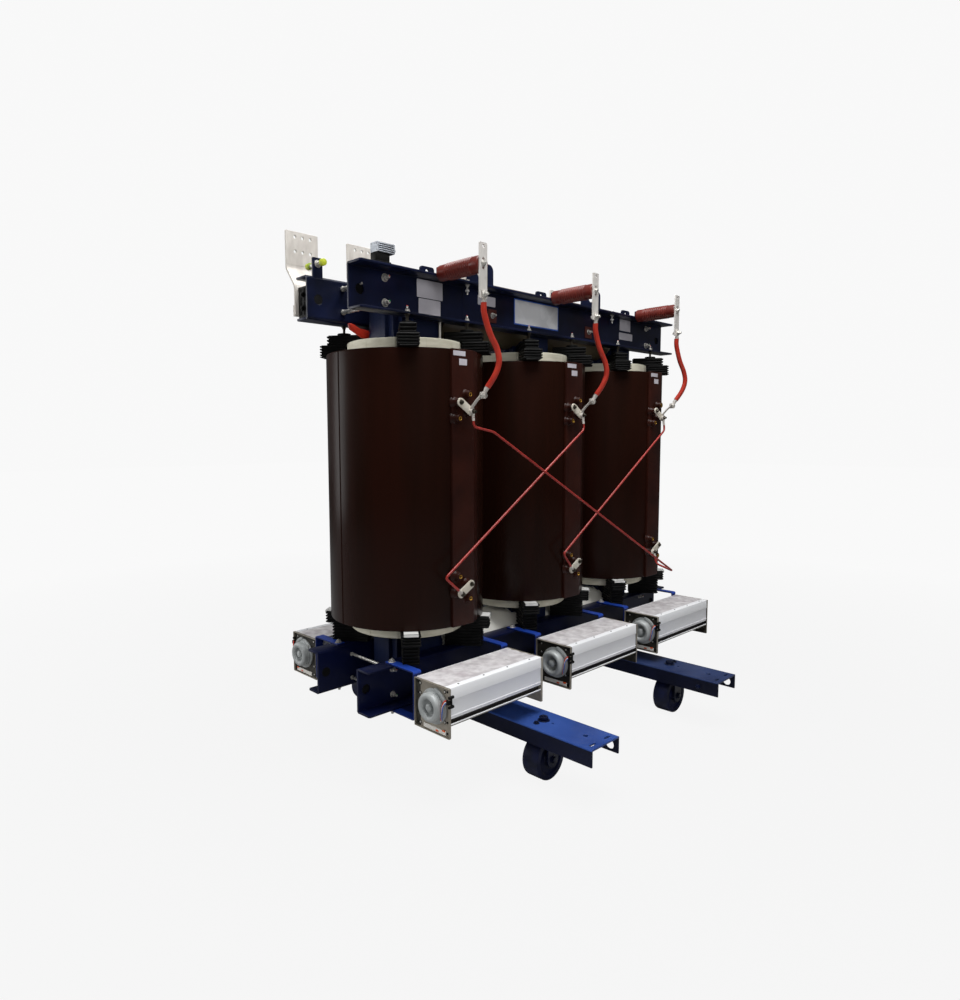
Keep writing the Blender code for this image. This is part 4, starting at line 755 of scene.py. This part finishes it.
def hv_terminal(number, x):
    middle = (x + 7 * MM, 1.842)
    bushing = Piece('bushing_%d' % number, BUSHING)
    profile = [(26, -202.8), (29, -204.5), (29.2, -240)]
    for i in range(RIBS):
        profile += [(r, -240 - i * RIB_PITCH - a) for r, a in RIB_PROFILE]
    profile += [(29.2, -368), (29.2, -402), (27, -404.6)]
    bushing.add(turned(scaled(profile), 'Y', middle))
    bushing.done('post_insulator_%d' % number, slot='insulator_resin')

    bar = Piece('terminal_bar_%d' % number, HV_TIN)
    outline = rounded(middle[0] - BAR_HALF, 1.725, middle[0] + BAR_HALF, 1.911, 3 * MM)
    holes = [circle((middle[0], z), 5.5 * MM, 20) for z in (1.899, 1.856, 1.827)]
    bar.add(plate(outline, holes, 'Y', BAR_FRONT, BAR_BACK), 0.5, 1)
    bar.done('hv_bar_%d' % number, slot='tinned_bar')
    steel = Piece('terminal_bolts_%d' % number, ZINC)
    hex_bolt(steel, 'Y', middle, BAR_FRONT, BACK, 8, 6, 3)
    hex_bolt(steel, 'Y', (middle[0], BAR_BOLT_Z), -0.4156, BACK, 9, 7, 8)
    hex_bolt(steel, 'Y', (middle[0], BAR_BOLT_Z), BAR_BACK, FORWARD, 9, 7, 6)
    steel.add(drum('X', LEAD_BOLT, x + 24 * MM, x + 56 * MM, 4, 16))
    hex_bolt(steel, 'X', LEAD_BOLT, x + 46 * MM, FORWARD, 8, 6)
    hex_bolt(steel, 'X', LEAD_BOLT, x + 32 * MM, BACK, 8, 6)
    steel.done(slot='zinc_steel')

    shifted = Vector((x, 0, 0))
    smooth = flowing([Vector(p) + shifted for p in scaled(LEAD_ROUTE)], 10)
    lead = Piece('lead_%d' % number, SLEEVE)
    lead.add(tube(smooth[:-3], 10.5 * MM, 20))
    lead.done('hv_lead_%d' % number, slot='lead_sheath')
    lug = Piece('lead_lugs_%d' % number, TIN)
    lug.add(box((middle[0] - 11 * MM, middle[0] + 11 * MM), (-0.4154, -0.4103), (1.722, 1.752)), 1.5)
    crimp = [(middle[0] + 1 * MM, -0.4125, 1.727), (x + 9 * MM, -0.410, 1.716), (x + 11 * MM, -0.408, 1.700)]
    lug.add(tube(crimp, [6 * MM, 8.5 * MM, 8.5 * MM], 20))
    crimp = [smooth[-6], smooth[-3], smooth[-1] + Vector((0.001, 0.001, -0.004))]
    lug.add(tube(crimp, [8.6 * MM, 8.4 * MM, 6.5 * MM], 20))
    lug.add(prism(LEAD_EYE, 'X', x + 33 * MM, x + 38 * MM), 2)
    lug.add(arm([Vector(p) + shifted for p in scaled(LEAD_ARM)]), 0.8, 1)
    lug.add(plate(circle((x + BOSS_X[1], TOP_BOSSES[1][0]), 12 * MM, 28), (), 'Y', -0.3403, -0.3353), 0.6, 1)
    lug.done(slot='tinned_bar')


for number, x in enumerate(COIL_X, 1):
    hv_terminal(number, x)

RODS = (
    ((-635.2, -343.5, 1331), (-637, -347, 1290), (-545, -358, 1272), (630, -440, 612), (632, -352, 636),
     (633.6, -341, 683)),
    ((24.8, -343.5, 1331), (26, -348, 1284), (-778, -347, 764), (-694, -341, 698)),
    ((684.8, -343.5, 1331), (686, -348, 1283), (-105, -347, 770), (-34, -341, 698)),
)
ROD_FOOT_COILS = (2, 0, 1)
for number, route in enumerate(RODS, 1):
    points = [Vector(p) for p in scaled(route)]
    start, stop = points[0], points[-1]
    rod = Piece('delta_lead_%d' % number, ROD)
    rod.add(tube(softened(points, 16 * MM), 4.6 * MM))
    rod.done('delta_rod_%d' % number, slot='rod_sheath')
    lugs = Piece('delta_lugs_%d' % number, TIN)
    foot = (COIL_X[ROD_FOOT_COILS[number - 1]] + BOSS_X[0], BOTTOM_BOSSES[0][0])
    lugs.add(plate(circle((start.x, TOP_BOSSES[1][0]), 11 * MM, 28), (), 'Y', -0.3456, -0.3406), 0.6, 1)
    lugs.add(plate(circle(foot, 11 * MM, 28), (), 'Y', -0.3403, -0.3353), 0.6, 1)
    crimp = [(start.x, start.y, 1.337), (start.x, start.y, 1.322), start + (points[1] - start) * 0.5]
    lugs.add(tube(crimp, 5.4 * MM))
    crimp = [(foot[0], -0.339, foot[1]), stop, stop + (points[-2] - stop).normalized() * 0.018]
    lugs.add(tube(crimp, [4 * MM, 5.4 * MM, 5.4 * MM]))
    lugs.done(slot='tinned_bar')

# Low-voltage bars

LV_LINE = ((216, 1608.3), (216, 1636), (243, 1660), (243, 1822), (300, 1896), (300, 1912))
LV_NEUTRAL_LINE = ((243, 1711),) + LV_LINE[3:]
LV_HALF_WIDTH = 0.071
LV_HALF_THICK = 4 * MM
PALM_LOW, PALM_TOP, PALM_CUT = 1.912, 2.038, 2 * MM
CROSS_BAR_END = 0.700


def lv_bar(name, x):
    line = scaled([(a, b, 0) for a, b in (LV_NEUTRAL_LINE if name == 'n' else LV_LINE)])
    line = [v.xy for v in softened(line, 14 * MM, 4)]
    left, right = [], []
    for i, p in enumerate(line):
        way = (line[min(i + 1, len(line) - 1)] - line[max(i - 1, 0)]).normalized()
        flat = Vector((-way.y, way.x)) * LV_HALF_THICK
        left.append(tuple(p + flat))
        right.append(tuple(p - flat))
    bar = Piece('low_bar_' + name, TIN)
    low_x, high_x = x - LV_HALF_WIDTH, x + LV_HALF_WIDTH
    bar.add(prism(left + right[::-1], 'X', low_x, high_x), 0.6, 1)
    palm = [(low_x, PALM_LOW), (high_x, PALM_LOW), (high_x, PALM_TOP - PALM_CUT), (high_x - PALM_CUT, PALM_TOP),
            (low_x + PALM_CUT, PALM_TOP), (low_x, PALM_TOP - PALM_CUT)]
    holes = [circle((x + a * MM, z), 6.5 * MM) for a in (-31, 3, 37) for z in (2.018, 1.964)]
    bar.add(plate(palm, holes, 'Y', 0.296, 0.304), 0.6, 1)
    if name == 'n':
        bar.add(box((x - 0.0704, CROSS_BAR_END), (0.250, 0.256), (1.711, 1.751)), 0.6, 1)
        bar.add(box((x - 0.0704, x + 0.02), (0.2464, 0.2504), (1.713, 1.749)))
    bar.done('lv_bar_' + name, slot='tinned_bar')


for name, x in LV_X.items():
    lv_bar(name, x)

# Base rails and rollers

RAIL_X = 0.457
RAIL_END = 0.798
RAIL_HALF = 82.5 * MM
RAIL_LOW, RAIL_HIGH = 0.1523, 0.2151
RAIL_WALL, RAIL_BEND = 7 * MM, 6 * MM
ROLLER_Y = 0.530
AXLE_Z = 0.080
FORK_HALF = 30 * MM


def base_rail(hand, label):
    x = hand * RAIL_X
    bend_x, bend_z = RAIL_HALF - RAIL_BEND, RAIL_HIGH - RAIL_BEND
    inner_x, inner_z = RAIL_HALF - RAIL_WALL, RAIL_HIGH - RAIL_WALL
    # Painted light and shade: the near rail takes the lit tone, and the far rail and both rails' webs take
    # painted shade tones.
    paint = Piece('rail_' + label, RAIL_PAINTED_LIT if hand < 0 else RAIL_FAR_PAINTED_SHADE)
    sides = Piece('rail_webs_' + label, RAIL_WEB_PAINTED_SHADE)
    dark = Piece('rail_fixings_' + label, NAVY)
    holes = []
    for side in SIDES:
        holes.append(circle((x, side * 0.715), 9 * MM))
        holes.append(circle((x, side * 0.572), 5 * MM, 16))
        for shift in SIDES:
            a, b = x + shift * 43 * MM, side * 0.774
            holes.append(rounded(a - 17 * MM, b - 5 * MM, a + 17 * MM, b + 5 * MM, 4.9 * MM))
    outline = [(x - bend_x, -RAIL_END), (x + bend_x, -RAIL_END), (x + bend_x, RAIL_END), (x - bend_x, RAIL_END)]
    paint.add(plate(outline, holes, 'Z', inner_z, RAIL_HIGH), 0.5, 1)
    for shift in SIDES:
        rounds = [circle((side * 0.763, 0.176), 17 * MM, 32) for side in SIDES] if shift > 0 else []
        outline = [(-RAIL_END, RAIL_LOW), (RAIL_END, RAIL_LOW), (RAIL_END, bend_z), (-RAIL_END, bend_z)]
        web = sorted((x + shift * RAIL_HALF, x + shift * inner_x))
        sides.add(plate(outline, rounds, 'X', *web), 0.8, 1)
        corner = bend((bend_x, bend_z), RAIL_BEND, 0.5, 0, 6)
        corner += [(inner_x, bend_z), (inner_x, inner_z), (bend_x, inner_z)]
        paint.add(prism([(x + shift * a, b) for a, b in corner], 'Y', -RAIL_END, RAIL_END))
    for side in SIDES:
        middle = side * ROLLER_Y
        packing = sided(hand, 0.465, 0.535)
        paint.add(box(packing, sided(side, 0.126, 0.190), (RAIL_HIGH - MM, 0.2762)), 1.5)
        for cheek in SIDES:
            y = sorted((middle + cheek * 38 * MM, middle + cheek * 46 * MM))
            outline = [(x - FORK_HALF, inner_z + MM)] + bend((x, 0.078), FORK_HALF, 1, 2, 10)
            dark.add(prism(outline + [(x + FORK_HALF, inner_z + MM)], 'Y', *y), 1, 1)
            hex_bolt(dark, 'Y', (x, AXLE_Z), middle + cheek * 46 * MM, cheek, 12, 7)
        dark.add(drum('Y', (x, AXLE_Z), middle - 47 * MM, middle + 47 * MM, 12.4))
        hex_bolt(dark, 'Z', (x, middle), RAIL_HIGH, FORWARD, 17, 13, 3)
        hex_bolt(dark, 'Z', (x + hand * 42 * MM, middle), RAIL_HIGH, FORWARD, 8.5, 6)
        if hand > 0:
            hex_bolt(dark, 'X', (side * 0.710, 0.176), x - RAIL_HALF, BACK, 9, 7)
    paint.done('base_rail_' + label, slot='rail_paint')
    dark.done(slot='rail_paint')
    sides.done(slot='rail_paint')


HALF_RIM = ((13, -35), (23, -35), (24.5, -33.5), (25, -28), (29, -25), (54, -25), (58, -28), (60, -33.5),
            (62, -35), (76, -35), (79.2, -33.8), (80, -31))
RIM = HALF_RIM + tuple((r, -a) for r, a in HALF_RIM[::-1])


def roller(tag, side, hand):
    wheel = Piece('wheel_' + tag, ROLLER, 'roller_' + tag)
    profile = [(r * MM, side * ROLLER_Y + a * MM) for r, a in RIM]
    wheel.add(turned(profile, 'Y', (hand * RAIL_X, AXLE_Z), 72, True))
    wheel.done('roller_' + tag, slot='roller_iron')


for hand, label in HANDS:
    base_rail(hand, label)
    for side, end in ENDS:
        roller('%s_%s' % (end, label), side, hand)

# Fans: the walls' outlines are (y, z) in mm, and a plate's sizes are those of the housing's ends

UPPER_WALL = ((456, 431.5), (478, 431.5), (480.2, 430.6), (481, 429), (482.3, 392), (482.2, 390.4),
              (481.4, 389.2), (477, 389.2), (478, 428.6), (456, 428.6))
LOWER_WALL = ((481, 389.4), (480.2, 387.6), (480.6, 337.5), (480.6, 326), (477, 326), (477, 389.4))
WALL_LIP = ((477, 338), (481.2, 338), (482.3, 337), (482.3, 334.4), (481.4, 333.2), (477, 333.2))
GROOVE_WALL = ((479.6, 326.6), (470, 326), (470, 310.4), (479.6, 309.8), (479.6, 308.6), (468, 308.6),
               (468, 327.4), (479.6, 327.4))
BOTTOM_LIP = ((468, 309.6), (480.8, 309.6), (482.3, 308.6), (482.3, 306.4), (481.2, 305.2), (468, 305.2))
BOTTOM_WALL = ((480.4, 306), (480.2, 303), (476, 299), (440, 299), (440, 301.4), (474.8, 301.4), (477, 306))
BACK_WALL = ((316, 431.5), (313, 431.5), (313, 428), (326, 403), (341, 384), (360, 369.5), (362, 371.6),
             (343.4, 386), (328.8, 405), (317, 427))
CURL = ((442, 300), (430, 297.6), (418, 297), (404, 298), (392, 300), (380, 304), (371, 308), (371, 310.6),
        (382, 306.4), (393, 302.6), (404, 300.6), (418, 299.6), (430, 300.4), (442, 303))
FAN_REACH = (-0.2337, 0.2554)
FAN_LOW_Z, FAN_HIGH_Z = 0.2594, 0.430
FAN_NEAR, FAN_FAR = 0.3087, 0.4827
FAN_AXIS = (0.405, 0.352)
RIM_WALL = 2.4 * MM
MOTOR_PROFILE = ((0.5, 40.6), (6, 40.2), (11, 38.6), (13.8, 35.5), (14.8, 28), (16, 22), (24, 22), (27, 24),
                 (28.6, 32), (30.2, 39), (33, 42), (37, 43.4), (41, 43.2), (45, 41.8), (48.2, 38.6), (50, 34),
                 (50, 23), (48.6, 22), (48.6, 19.5), (50, 18.6), (50, 6), (46, 0.5))


def wrinkled_sheet(xs, ys, z, seed):
    """A thin film with small creases, laid over an outlet."""
    across, along, crease, sag, thin = 16, 64, 0.9 * MM, 1.2 * MM, 0.3 * MM
    rings = []
    for j in range(along + 1):
        row = []
        for i in range(across + 1):
            x = xs[0] + (xs[1] - xs[0]) * j / along
            y = ys[0] + (ys[1] - ys[0]) * i / across
            edge = min(i, across - i, 2) / 2
            wave = sin(x * 95 + y * 61 + seed * 1.7) * sin(x * 37 - y * 83 + seed)
            wave += sin(x * 210 - y * 150 + seed * 3) * 0.35
            row.append((x, y, z + crease * edge * wave - sag * edge))
        rings.append(row + [(x, y, h - thin) for x, y, h in row[::-1]])
    return loft(rings)


def end_plate(side, base, way, plain, painted, trays, sheets, dark, screws):
    """A fan's end plate with its folded rim, black discs as painted shade at its holes, and screws. plain is the
    piece of the flat sheet.
    """
    sheet = base + way * 8 * MM
    ys = sided(side, FAN_NEAR, FAN_FAR)
    z = (FAN_LOW_Z, FAN_HIGH_Z)
    edge = rounded(ys[0], z[0], ys[1], z[1], 3 * MM)
    plain.add(plate(edge, (), 'X', *sorted((sheet, sheet + way * 2 * MM))))
    # A strip of painted shade on the clamp side of the first front fan's plates.
    if painted:
        strip = sided(side, FAN_NEAR + 3 * MM, FAN_NEAR + 25 * MM)
        sheets.add(box(sorted((sheet, sheet - way * 0.6 * MM)), strip, (z[0] + 3 * MM, z[1] - 3 * MM)))
    rim_x = sorted((base, sheet))
    inside = (ys[0] + 2 * MM, ys[1] - 2 * MM)
    for rim_y, rim_z in (((ys[0], ys[0] + RIM_WALL), z), ((ys[1] - RIM_WALL, ys[1]), z),
                         (inside, (z[0], z[0] + RIM_WALL)), (inside, (z[1] - RIM_WALL, z[1]))):
        trays.add(box(rim_x, rim_y, rim_z), 0.5, 1)
    # Black discs at the plate's holes: painted shade.
    for a in (FAN_NEAR + 14 * MM, FAN_FAR - 14 * MM):
        for b in (z[0] + 14 * MM, z[0] + 52 * MM, z[1] - 52 * MM, z[1] - 14 * MM):
            dark.add(drum('X', (side * a, b), sheet, sheet - way * 1.2 * MM, 4.2, 16))
    for a in (FAN_NEAR + 25 * MM, FAN_FAR - 27 * MM):
        for b in (z[0] + 16 * MM, z[0] + 50 * MM, z[1] - 50 * MM, z[1] - 16 * MM):
            dark.add(drum('X', (side * a, b), sheet, sheet - way * 0.8 * MM, 6.4, 16))
            screws.add(drum('X', (side * a, b), sheet, sheet - way * 2.4 * MM, 3.8, 16), 0.8)


def fan_motor(tag, side, start, screws):
    axis = (side * FAN_AXIS[0], FAN_AXIS[1])
    front = start + 7 * MM
    motor = Piece('fan_motor_' + tag, MOTOR)
    profile = [(r * MM, front + 8 * MM - a * MM) for r, a in MOTOR_PROFILE]
    motor.add(turned(profile, 'X', axis, 64))
    motor.add(plate(circle(axis, 61 * MM, 64), (), 'X', front - 5 * MM, front + 1.2 * MM), 1.5)
    arc = bend((0, 0), 67 * MM, 3 / 24, 11 / 24, 8) + bend((0, 0), 56 * MM, 11 / 24, 3 / 24, 8)
    arc = [(axis[0] + side * a, axis[1] + b) for a, b in arc]
    motor.add(prism(arc, 'X', front - 8 * MM, front + 1.2 * MM), 1)
    for a in SIDES:
        for b in SIDES:
            spot = (axis[0] + a * 39 * MM, axis[1] + b * 40 * MM)
            screws.add(drum('X', spot, front - 8 * MM, front - 4 * MM, 3.6, 6), 0.5, 1)
    motor.done(slot='fan_aluminium')


def fan_wiring(tag, side, start, dark):
    """The clip, three short wires and the plate under the motor with its two marks."""
    dark.add(box((start + 7 * MM, start + 14 * MM), sided(side, 0.4805, 0.4860), (0.366, 0.404)), 1.2)
    for z in (0.3685, 0.4010):
        dark.add(drum('X', (side * 0.4825, z), start - 1 * MM, start + 22 * MM, 5.4, 16), 2.6, 3)
    dark.add(box((start - 5 * MM, start + 6 * MM), sided(side, 0.470, 0.486), (0.377, 0.393)), 3)
    for k, mat in enumerate((RED, CREAM, BLUE)):
        wire = Piece('fan_wire_%d_%s' % (k, tag), mat)
        drop = k * 4.5
        route = ((-3, 474, 391 - drop), (-7, 469, 388 - drop), (-11, 464, 376 - drop),
                 (-11, 460 + k, 356 - drop * 0.6), (-8, 455 + k, 338), (-4, 449 + k, 322 + k),
                 (3, 444 + k, 312 + k))
        route = [(start + a * MM, side * b * MM, c * MM) for a, b, c in route]
        wire.add(tube(flowing(route, 5), 2.3 * MM, 10))
        wire.done()
    low = FAN_LOW_Z
    lead_plate = Piece('fan_lead_plate_' + tag, CREAM)
    heights = (low + 6 * MM, low + 21 * MM)
    lead_plate.add(box((start + 4 * MM, start + 8 * MM), sided(side, 0.352, 0.462), heights), 1, 1)
    lead_plate.done()
    marks = Piece('fan_marks_' + tag, ORANGE)
    for a, z in ((0.414, low + 9 * MM), (0.446, low + 17 * MM)):
        marks.add(box((start + 2.6 * MM, start + 4.2 * MM), sided(side, a, a + 0.014), (z, z + 6 * MM)), 0.6, 1)
    marks.done()


def fan_drum(tag, side, start, stop):
    axis = (side * FAN_AXIS[0], FAN_AXIS[1])
    blades, discs = 24, 6
    made = Piece('fan_drum_' + tag, BLADES, 'fan_impeller_' + tag)
    first, last = start + 16 * MM, stop - 16 * MM
    made.add(drum('X', axis, first - 9 * MM, last + 9 * MM, 6, 16))
    for k in range(discs):
        at = first + (last - first - 2 * MM) * k / (discs - 1)
        holes = [circle(axis, 27 * MM, 32)] if 0 < k < discs - 1 else ()
        made.add(plate(circle(axis, 41 * MM, 40), holes, 'X', at, at + 2 * MM))
    for k in range(blades):
        angle = 2 * pi * k / blades
        points = []
        for r, lean in ((30, 0.0), (33.5, 0.10), (37, 0.16), (40.4, 0.18)):
            points.append(Vector((cos(angle + side * lean), sin(angle + side * lean))) * r * MM)
        thick = [Vector((-p.y, p.x)).normalized() * 0.5 * MM for p in points]
        outline = [p + t for p, t in zip(points, thick)] + [p - t for p, t in zip(points[::-1], thick[::-1])]
        made.add(prism([(axis[0] + p.x, axis[1] + p.y) for p in outline], 'X', first, last))
    made.done('fan_impeller_' + tag, slot='fan_blades')


def fan(x, side, end, number):
    tag = '%s_%d' % (end, number)
    start, stop = x + FAN_REACH[0], x + FAN_REACH[1]
    inside = (start + 9 * MM, stop - 9 * MM)
    shell, lower, groove, trays, sheets, screws, dark, film = pieces(
        'fan_%s_' + tag, ('shell', FAN), ('lower', FAN_LOW_PAINTED_LIGHT), ('groove', GROOVE_PAINTED_SHADE), ('trays', TRAY),
        ('sheets', TRAY_PAINTED_SHADE), ('screws', ZINC), ('fittings', BLACK), ('film', FILM))
    for piece, outlines in ((shell, (UPPER_WALL, WALL_LIP, BOTTOM_LIP, BACK_WALL, CURL)), (lower, (LOWER_WALL,)),
                            (groove, (GROOVE_WALL,)), (trays, (BOTTOM_WALL,))):
        for outline in outlines:
            piece.add(prism([(side * a * MM, b * MM) for a, b in outline], 'X', *inside))
    # Only the first front fan's end plates keep their own tone; the flat sheet of every other plate is painted
    # shade.
    painted = number == 1 and side < 0
    for base, way in ((start, FORWARD), (stop, BACK)):
        plain = trays if painted else sheets
        end_plate(side, base, way, plain, painted, trays, sheets, dark, screws)
    film.add(wrinkled_sheet(inside, sided(side, 0.3150, 0.4570), 0.4314, number + (7 if side > 0 else 0)))
    for k in range(4):
        spot = (start + 0.060 + k * 0.123, side * 0.4665)
        dark.add(drum('Z', spot, 0.4312, 0.4326, 3.4, 16), 0.4, 1)
    fan_motor(tag, side, start, screws)
    fan_wiring(tag, side, start, dark)
    film.done()
    shell.done('fan_housing_' + tag, slot='fan_aluminium')
    for piece in (lower, groove, trays, sheets):
        piece.done(slot='fan_aluminium')
    screws.done(slot='zinc_steel')
    dark.done()
    fan_drum(tag, side, start, stop)


for side, end in ENDS:
    for number, x in enumerate(COIL_X, 1):
        fan(x, side, end, number)

# Sensor box and loose bits near the left coil

SENSOR_X, SENSOR_Y = (-0.941, -0.868), (-0.200, -0.158)
SENSOR_GLAND = (-0.179, 1.8895)
left, right = SENSOR_X
near, far = SENSOR_Y
core = Piece('sensor_core', BLACK)
core.add(box((left + 3 * MM, right - 3 * MM), (near + 3 * MM, far - 3 * MM), (1.8735, 1.9055)), 1, 1)
core.done()
sensor = Piece('sensor_housing', SENSOR)
for k in range(5):
    low = 1.8735 + k * 6.6 * MM
    rib_y = (near + 0.2 * MM, far - 0.2 * MM)
    sensor.add(box((left + 3 * MM, right - 3 * MM), rib_y, (low, low + 3.6 * MM)), 1.2, 3)
for a in (left, right - 5 * MM):
    sensor.add(plate(rounded(near, 1.873, far, 1.906, 3 * MM), (), 'X', a, a + 5 * MM), 0.8, 1)
sensor.add(drum('X', SENSOR_GLAND, right - MM, right + 6 * MM, 8, 20), 0.8, 1)
sensor.add(drum('X', SENSOR_GLAND, right + 5 * MM, right + 15 * MM, 6.5, 20), 1.2)
sensor.done('sensor_box', slot='sensor_housing')
screws = Piece('sensor_screws', DARK_BOLT)
for y in (near + 6 * MM, far - 6 * MM):
    for z in (1.8785, 1.9005):
        screws.add(drum('X', (y, z), left, left + 2 * MM, 2.4, 12))
screws.done()
foot = Piece('sensor_bracket', BLACK)
foot.add(box((-0.944, -0.888), (-0.196, -0.162), (1.8403, 1.8734)), 1.5)
foot.add(box((-0.944, -0.884), (-0.199, -0.159), (1.8402, 1.8440)), 1, 1)
foot.done()

SLEEVE_OUTLINE = ((-0.852, 1.682), (-0.836, 1.683), (-0.800, 1.668), (-0.740, 1.660), (-0.740, 1.628),
                  (-0.790, 1.634), (-0.845, 1.660))
sleeve = Piece('red_sleeve', RED)
sleeve.add(prism(SLEEVE_OUTLINE, 'Y', 0.096, 0.108), 3)
sleeve.done()
pipe = Piece('white_tube', CREAM)
pipe.add(drum('Z', (-0.601, -0.135), 1.6085, 1.684, 4.5, 16), 0.5, 1)
pipe.done()

# Stage: floor, lamps and camera

BACKDROP, BACKDROP_LIGHT = 0.942, 0.12
FLOOR_BASE, FLOOR_GLOW = 0.35, 0.948
FLOOR_HALF = 30
GLOW_NEAR, GLOW_FAR, GLOW_SHARE = 1.4, 5.0, 0.94


def grey(level):
    return (level, level, level, 1)


world = bpy.data.worlds.new('studio')
bpy.context.scene.world = world
world.use_nodes = True
tree = world.node_tree
rays = add_node(tree, 'LightPath').outputs
seen = add_node(tree, 'Math', {0: rays['Is Camera Ray'], 1: rays['Is Transmission Ray']}, operation='MAXIMUM')
ends = {'Value': seen.outputs['Value'], 'To Min': BACKDROP_LIGHT, 'To Max': 1.0}
strength = add_node(tree, 'MapRange', ends).outputs['Result']
feed(tree.nodes['Background'], {'Color': grey(BACKDROP), 'Strength': strength})

floor_mesh = bpy.data.meshes.new('floor')
floor_corners = [(a * FLOOR_HALF, b * FLOOR_HALF, 0) for a, b in ((-1, -1), (1, -1), (1, 1), (-1, 1))]
floor_mesh.from_pydata(floor_corners, [], [(0, 1, 2, 3)])
floor = bpy.data.objects.new('floor', floor_mesh)
bpy.context.scene.collection.objects.link(floor)
ground = bpy.data.materials.new('floor_pale')
ground.use_nodes = True
tree = ground.node_tree
matte = tree.nodes['Principled BSDF']
feed(matte, {'Base Color': grey(FLOOR_BASE), 'Roughness': 0.9, 'Specular IOR Level': 0.0})
glow = add_node(tree, 'Emission', {'Color': grey(FLOOR_GLOW)})
position = add_node(tree, 'NewGeometry').outputs['Position']
distance = add_node(tree, 'VectorMath', {0: position}, operation='LENGTH').outputs['Value']
ends = {'Value': distance, 'From Min': GLOW_NEAR, 'From Max': GLOW_FAR, 'To Min': GLOW_SHARE, 'To Max': 1.0}
fade = add_node(tree, 'MapRange', ends).outputs['Result']
camera_ray = add_node(tree, 'LightPath').outputs['Is Camera Ray']
share = add_node(tree, 'Math', {0: camera_ray, 1: fade}, operation='MULTIPLY').outputs['Value']
mix = add_node(tree, 'MixShader', {0: share, 1: matte.outputs['BSDF'], 2: glow.outputs['Emission']})
feed(tree.nodes['Material Output'], {'Surface': mix.outputs['Shader']})
floor_mesh.materials.append(ground)


def lamp(name, place, target, size, power, mirrored=True):
    data = bpy.data.lights.new(name, 'AREA')
    data.shape = 'RECTANGLE'
    data.size, data.size_y = size
    data.energy = power
    made = bpy.data.objects.new(name, data)
    made.visible_glossy = mirrored
    made.location = place
    made.rotation_euler = (Vector(target) - Vector(place)).to_track_quat('-Z', 'Y').to_euler()
    bpy.context.scene.collection.objects.link(made)


lamp('over', (-0.5, -0.8, 4.4), (0, 0, 1.0), (3.0, 2.4), 200)
lamp('left', (-4.4, 1.6, 2.2), (-0.5, 0, 1.0), (0.9, 2.6), 50, False)
lamp('edge', (-3.0, 3.7, 1.7), (-0.66, 0, 1.0), (1.8, 2.8), 45)
lamp('front', (-2.6, -4.6, 2.4), (0.1, 0, 0.9), (3.0, 2.2), 62, False)

EYE = (-2.4146, -2.0818, 1.2507)
YAW, PITCH, ROLL = radians(43.2823), radians(-5.2969), radians(-0.2727)
PICTURE_WIDE, PICTURE_HIGH = 960, 1000
OPTICAL_CENTRE = (444.53, 502.45)
FOCAL_PIXELS = 694.57
SENSOR_WIDTH = 36

ahead = Vector((sin(YAW) * cos(PITCH), cos(YAW) * cos(PITCH), sin(PITCH)))
right = Vector((cos(YAW), -sin(YAW), 0))
up = right.cross(ahead)
right, up = right * cos(ROLL) + up * sin(ROLL), up * cos(ROLL) - right * sin(ROLL)
camera_data = bpy.data.cameras.new('camera')
camera_data.sensor_width = SENSOR_WIDTH
camera_data.lens = SENSOR_WIDTH * FOCAL_PIXELS / PICTURE_HIGH
camera_data.shift_x = (PICTURE_WIDE / 2 - OPTICAL_CENTRE[0]) / PICTURE_HIGH
camera_data.shift_y = (OPTICAL_CENTRE[1] - PICTURE_HIGH / 2) / PICTURE_HIGH
camera_data.clip_end = 200
camera = bpy.data.objects.new('camera', camera_data)
turn = Matrix((right, up, -ahead)).transposed().to_4x4()
camera.matrix_world = Matrix.Translation(EYE) @ turn
bpy.context.scene.collection.objects.link(camera)
bpy.context.scene.camera = camera
bpy.context.scene.view_settings.view_transform = 'Standard'
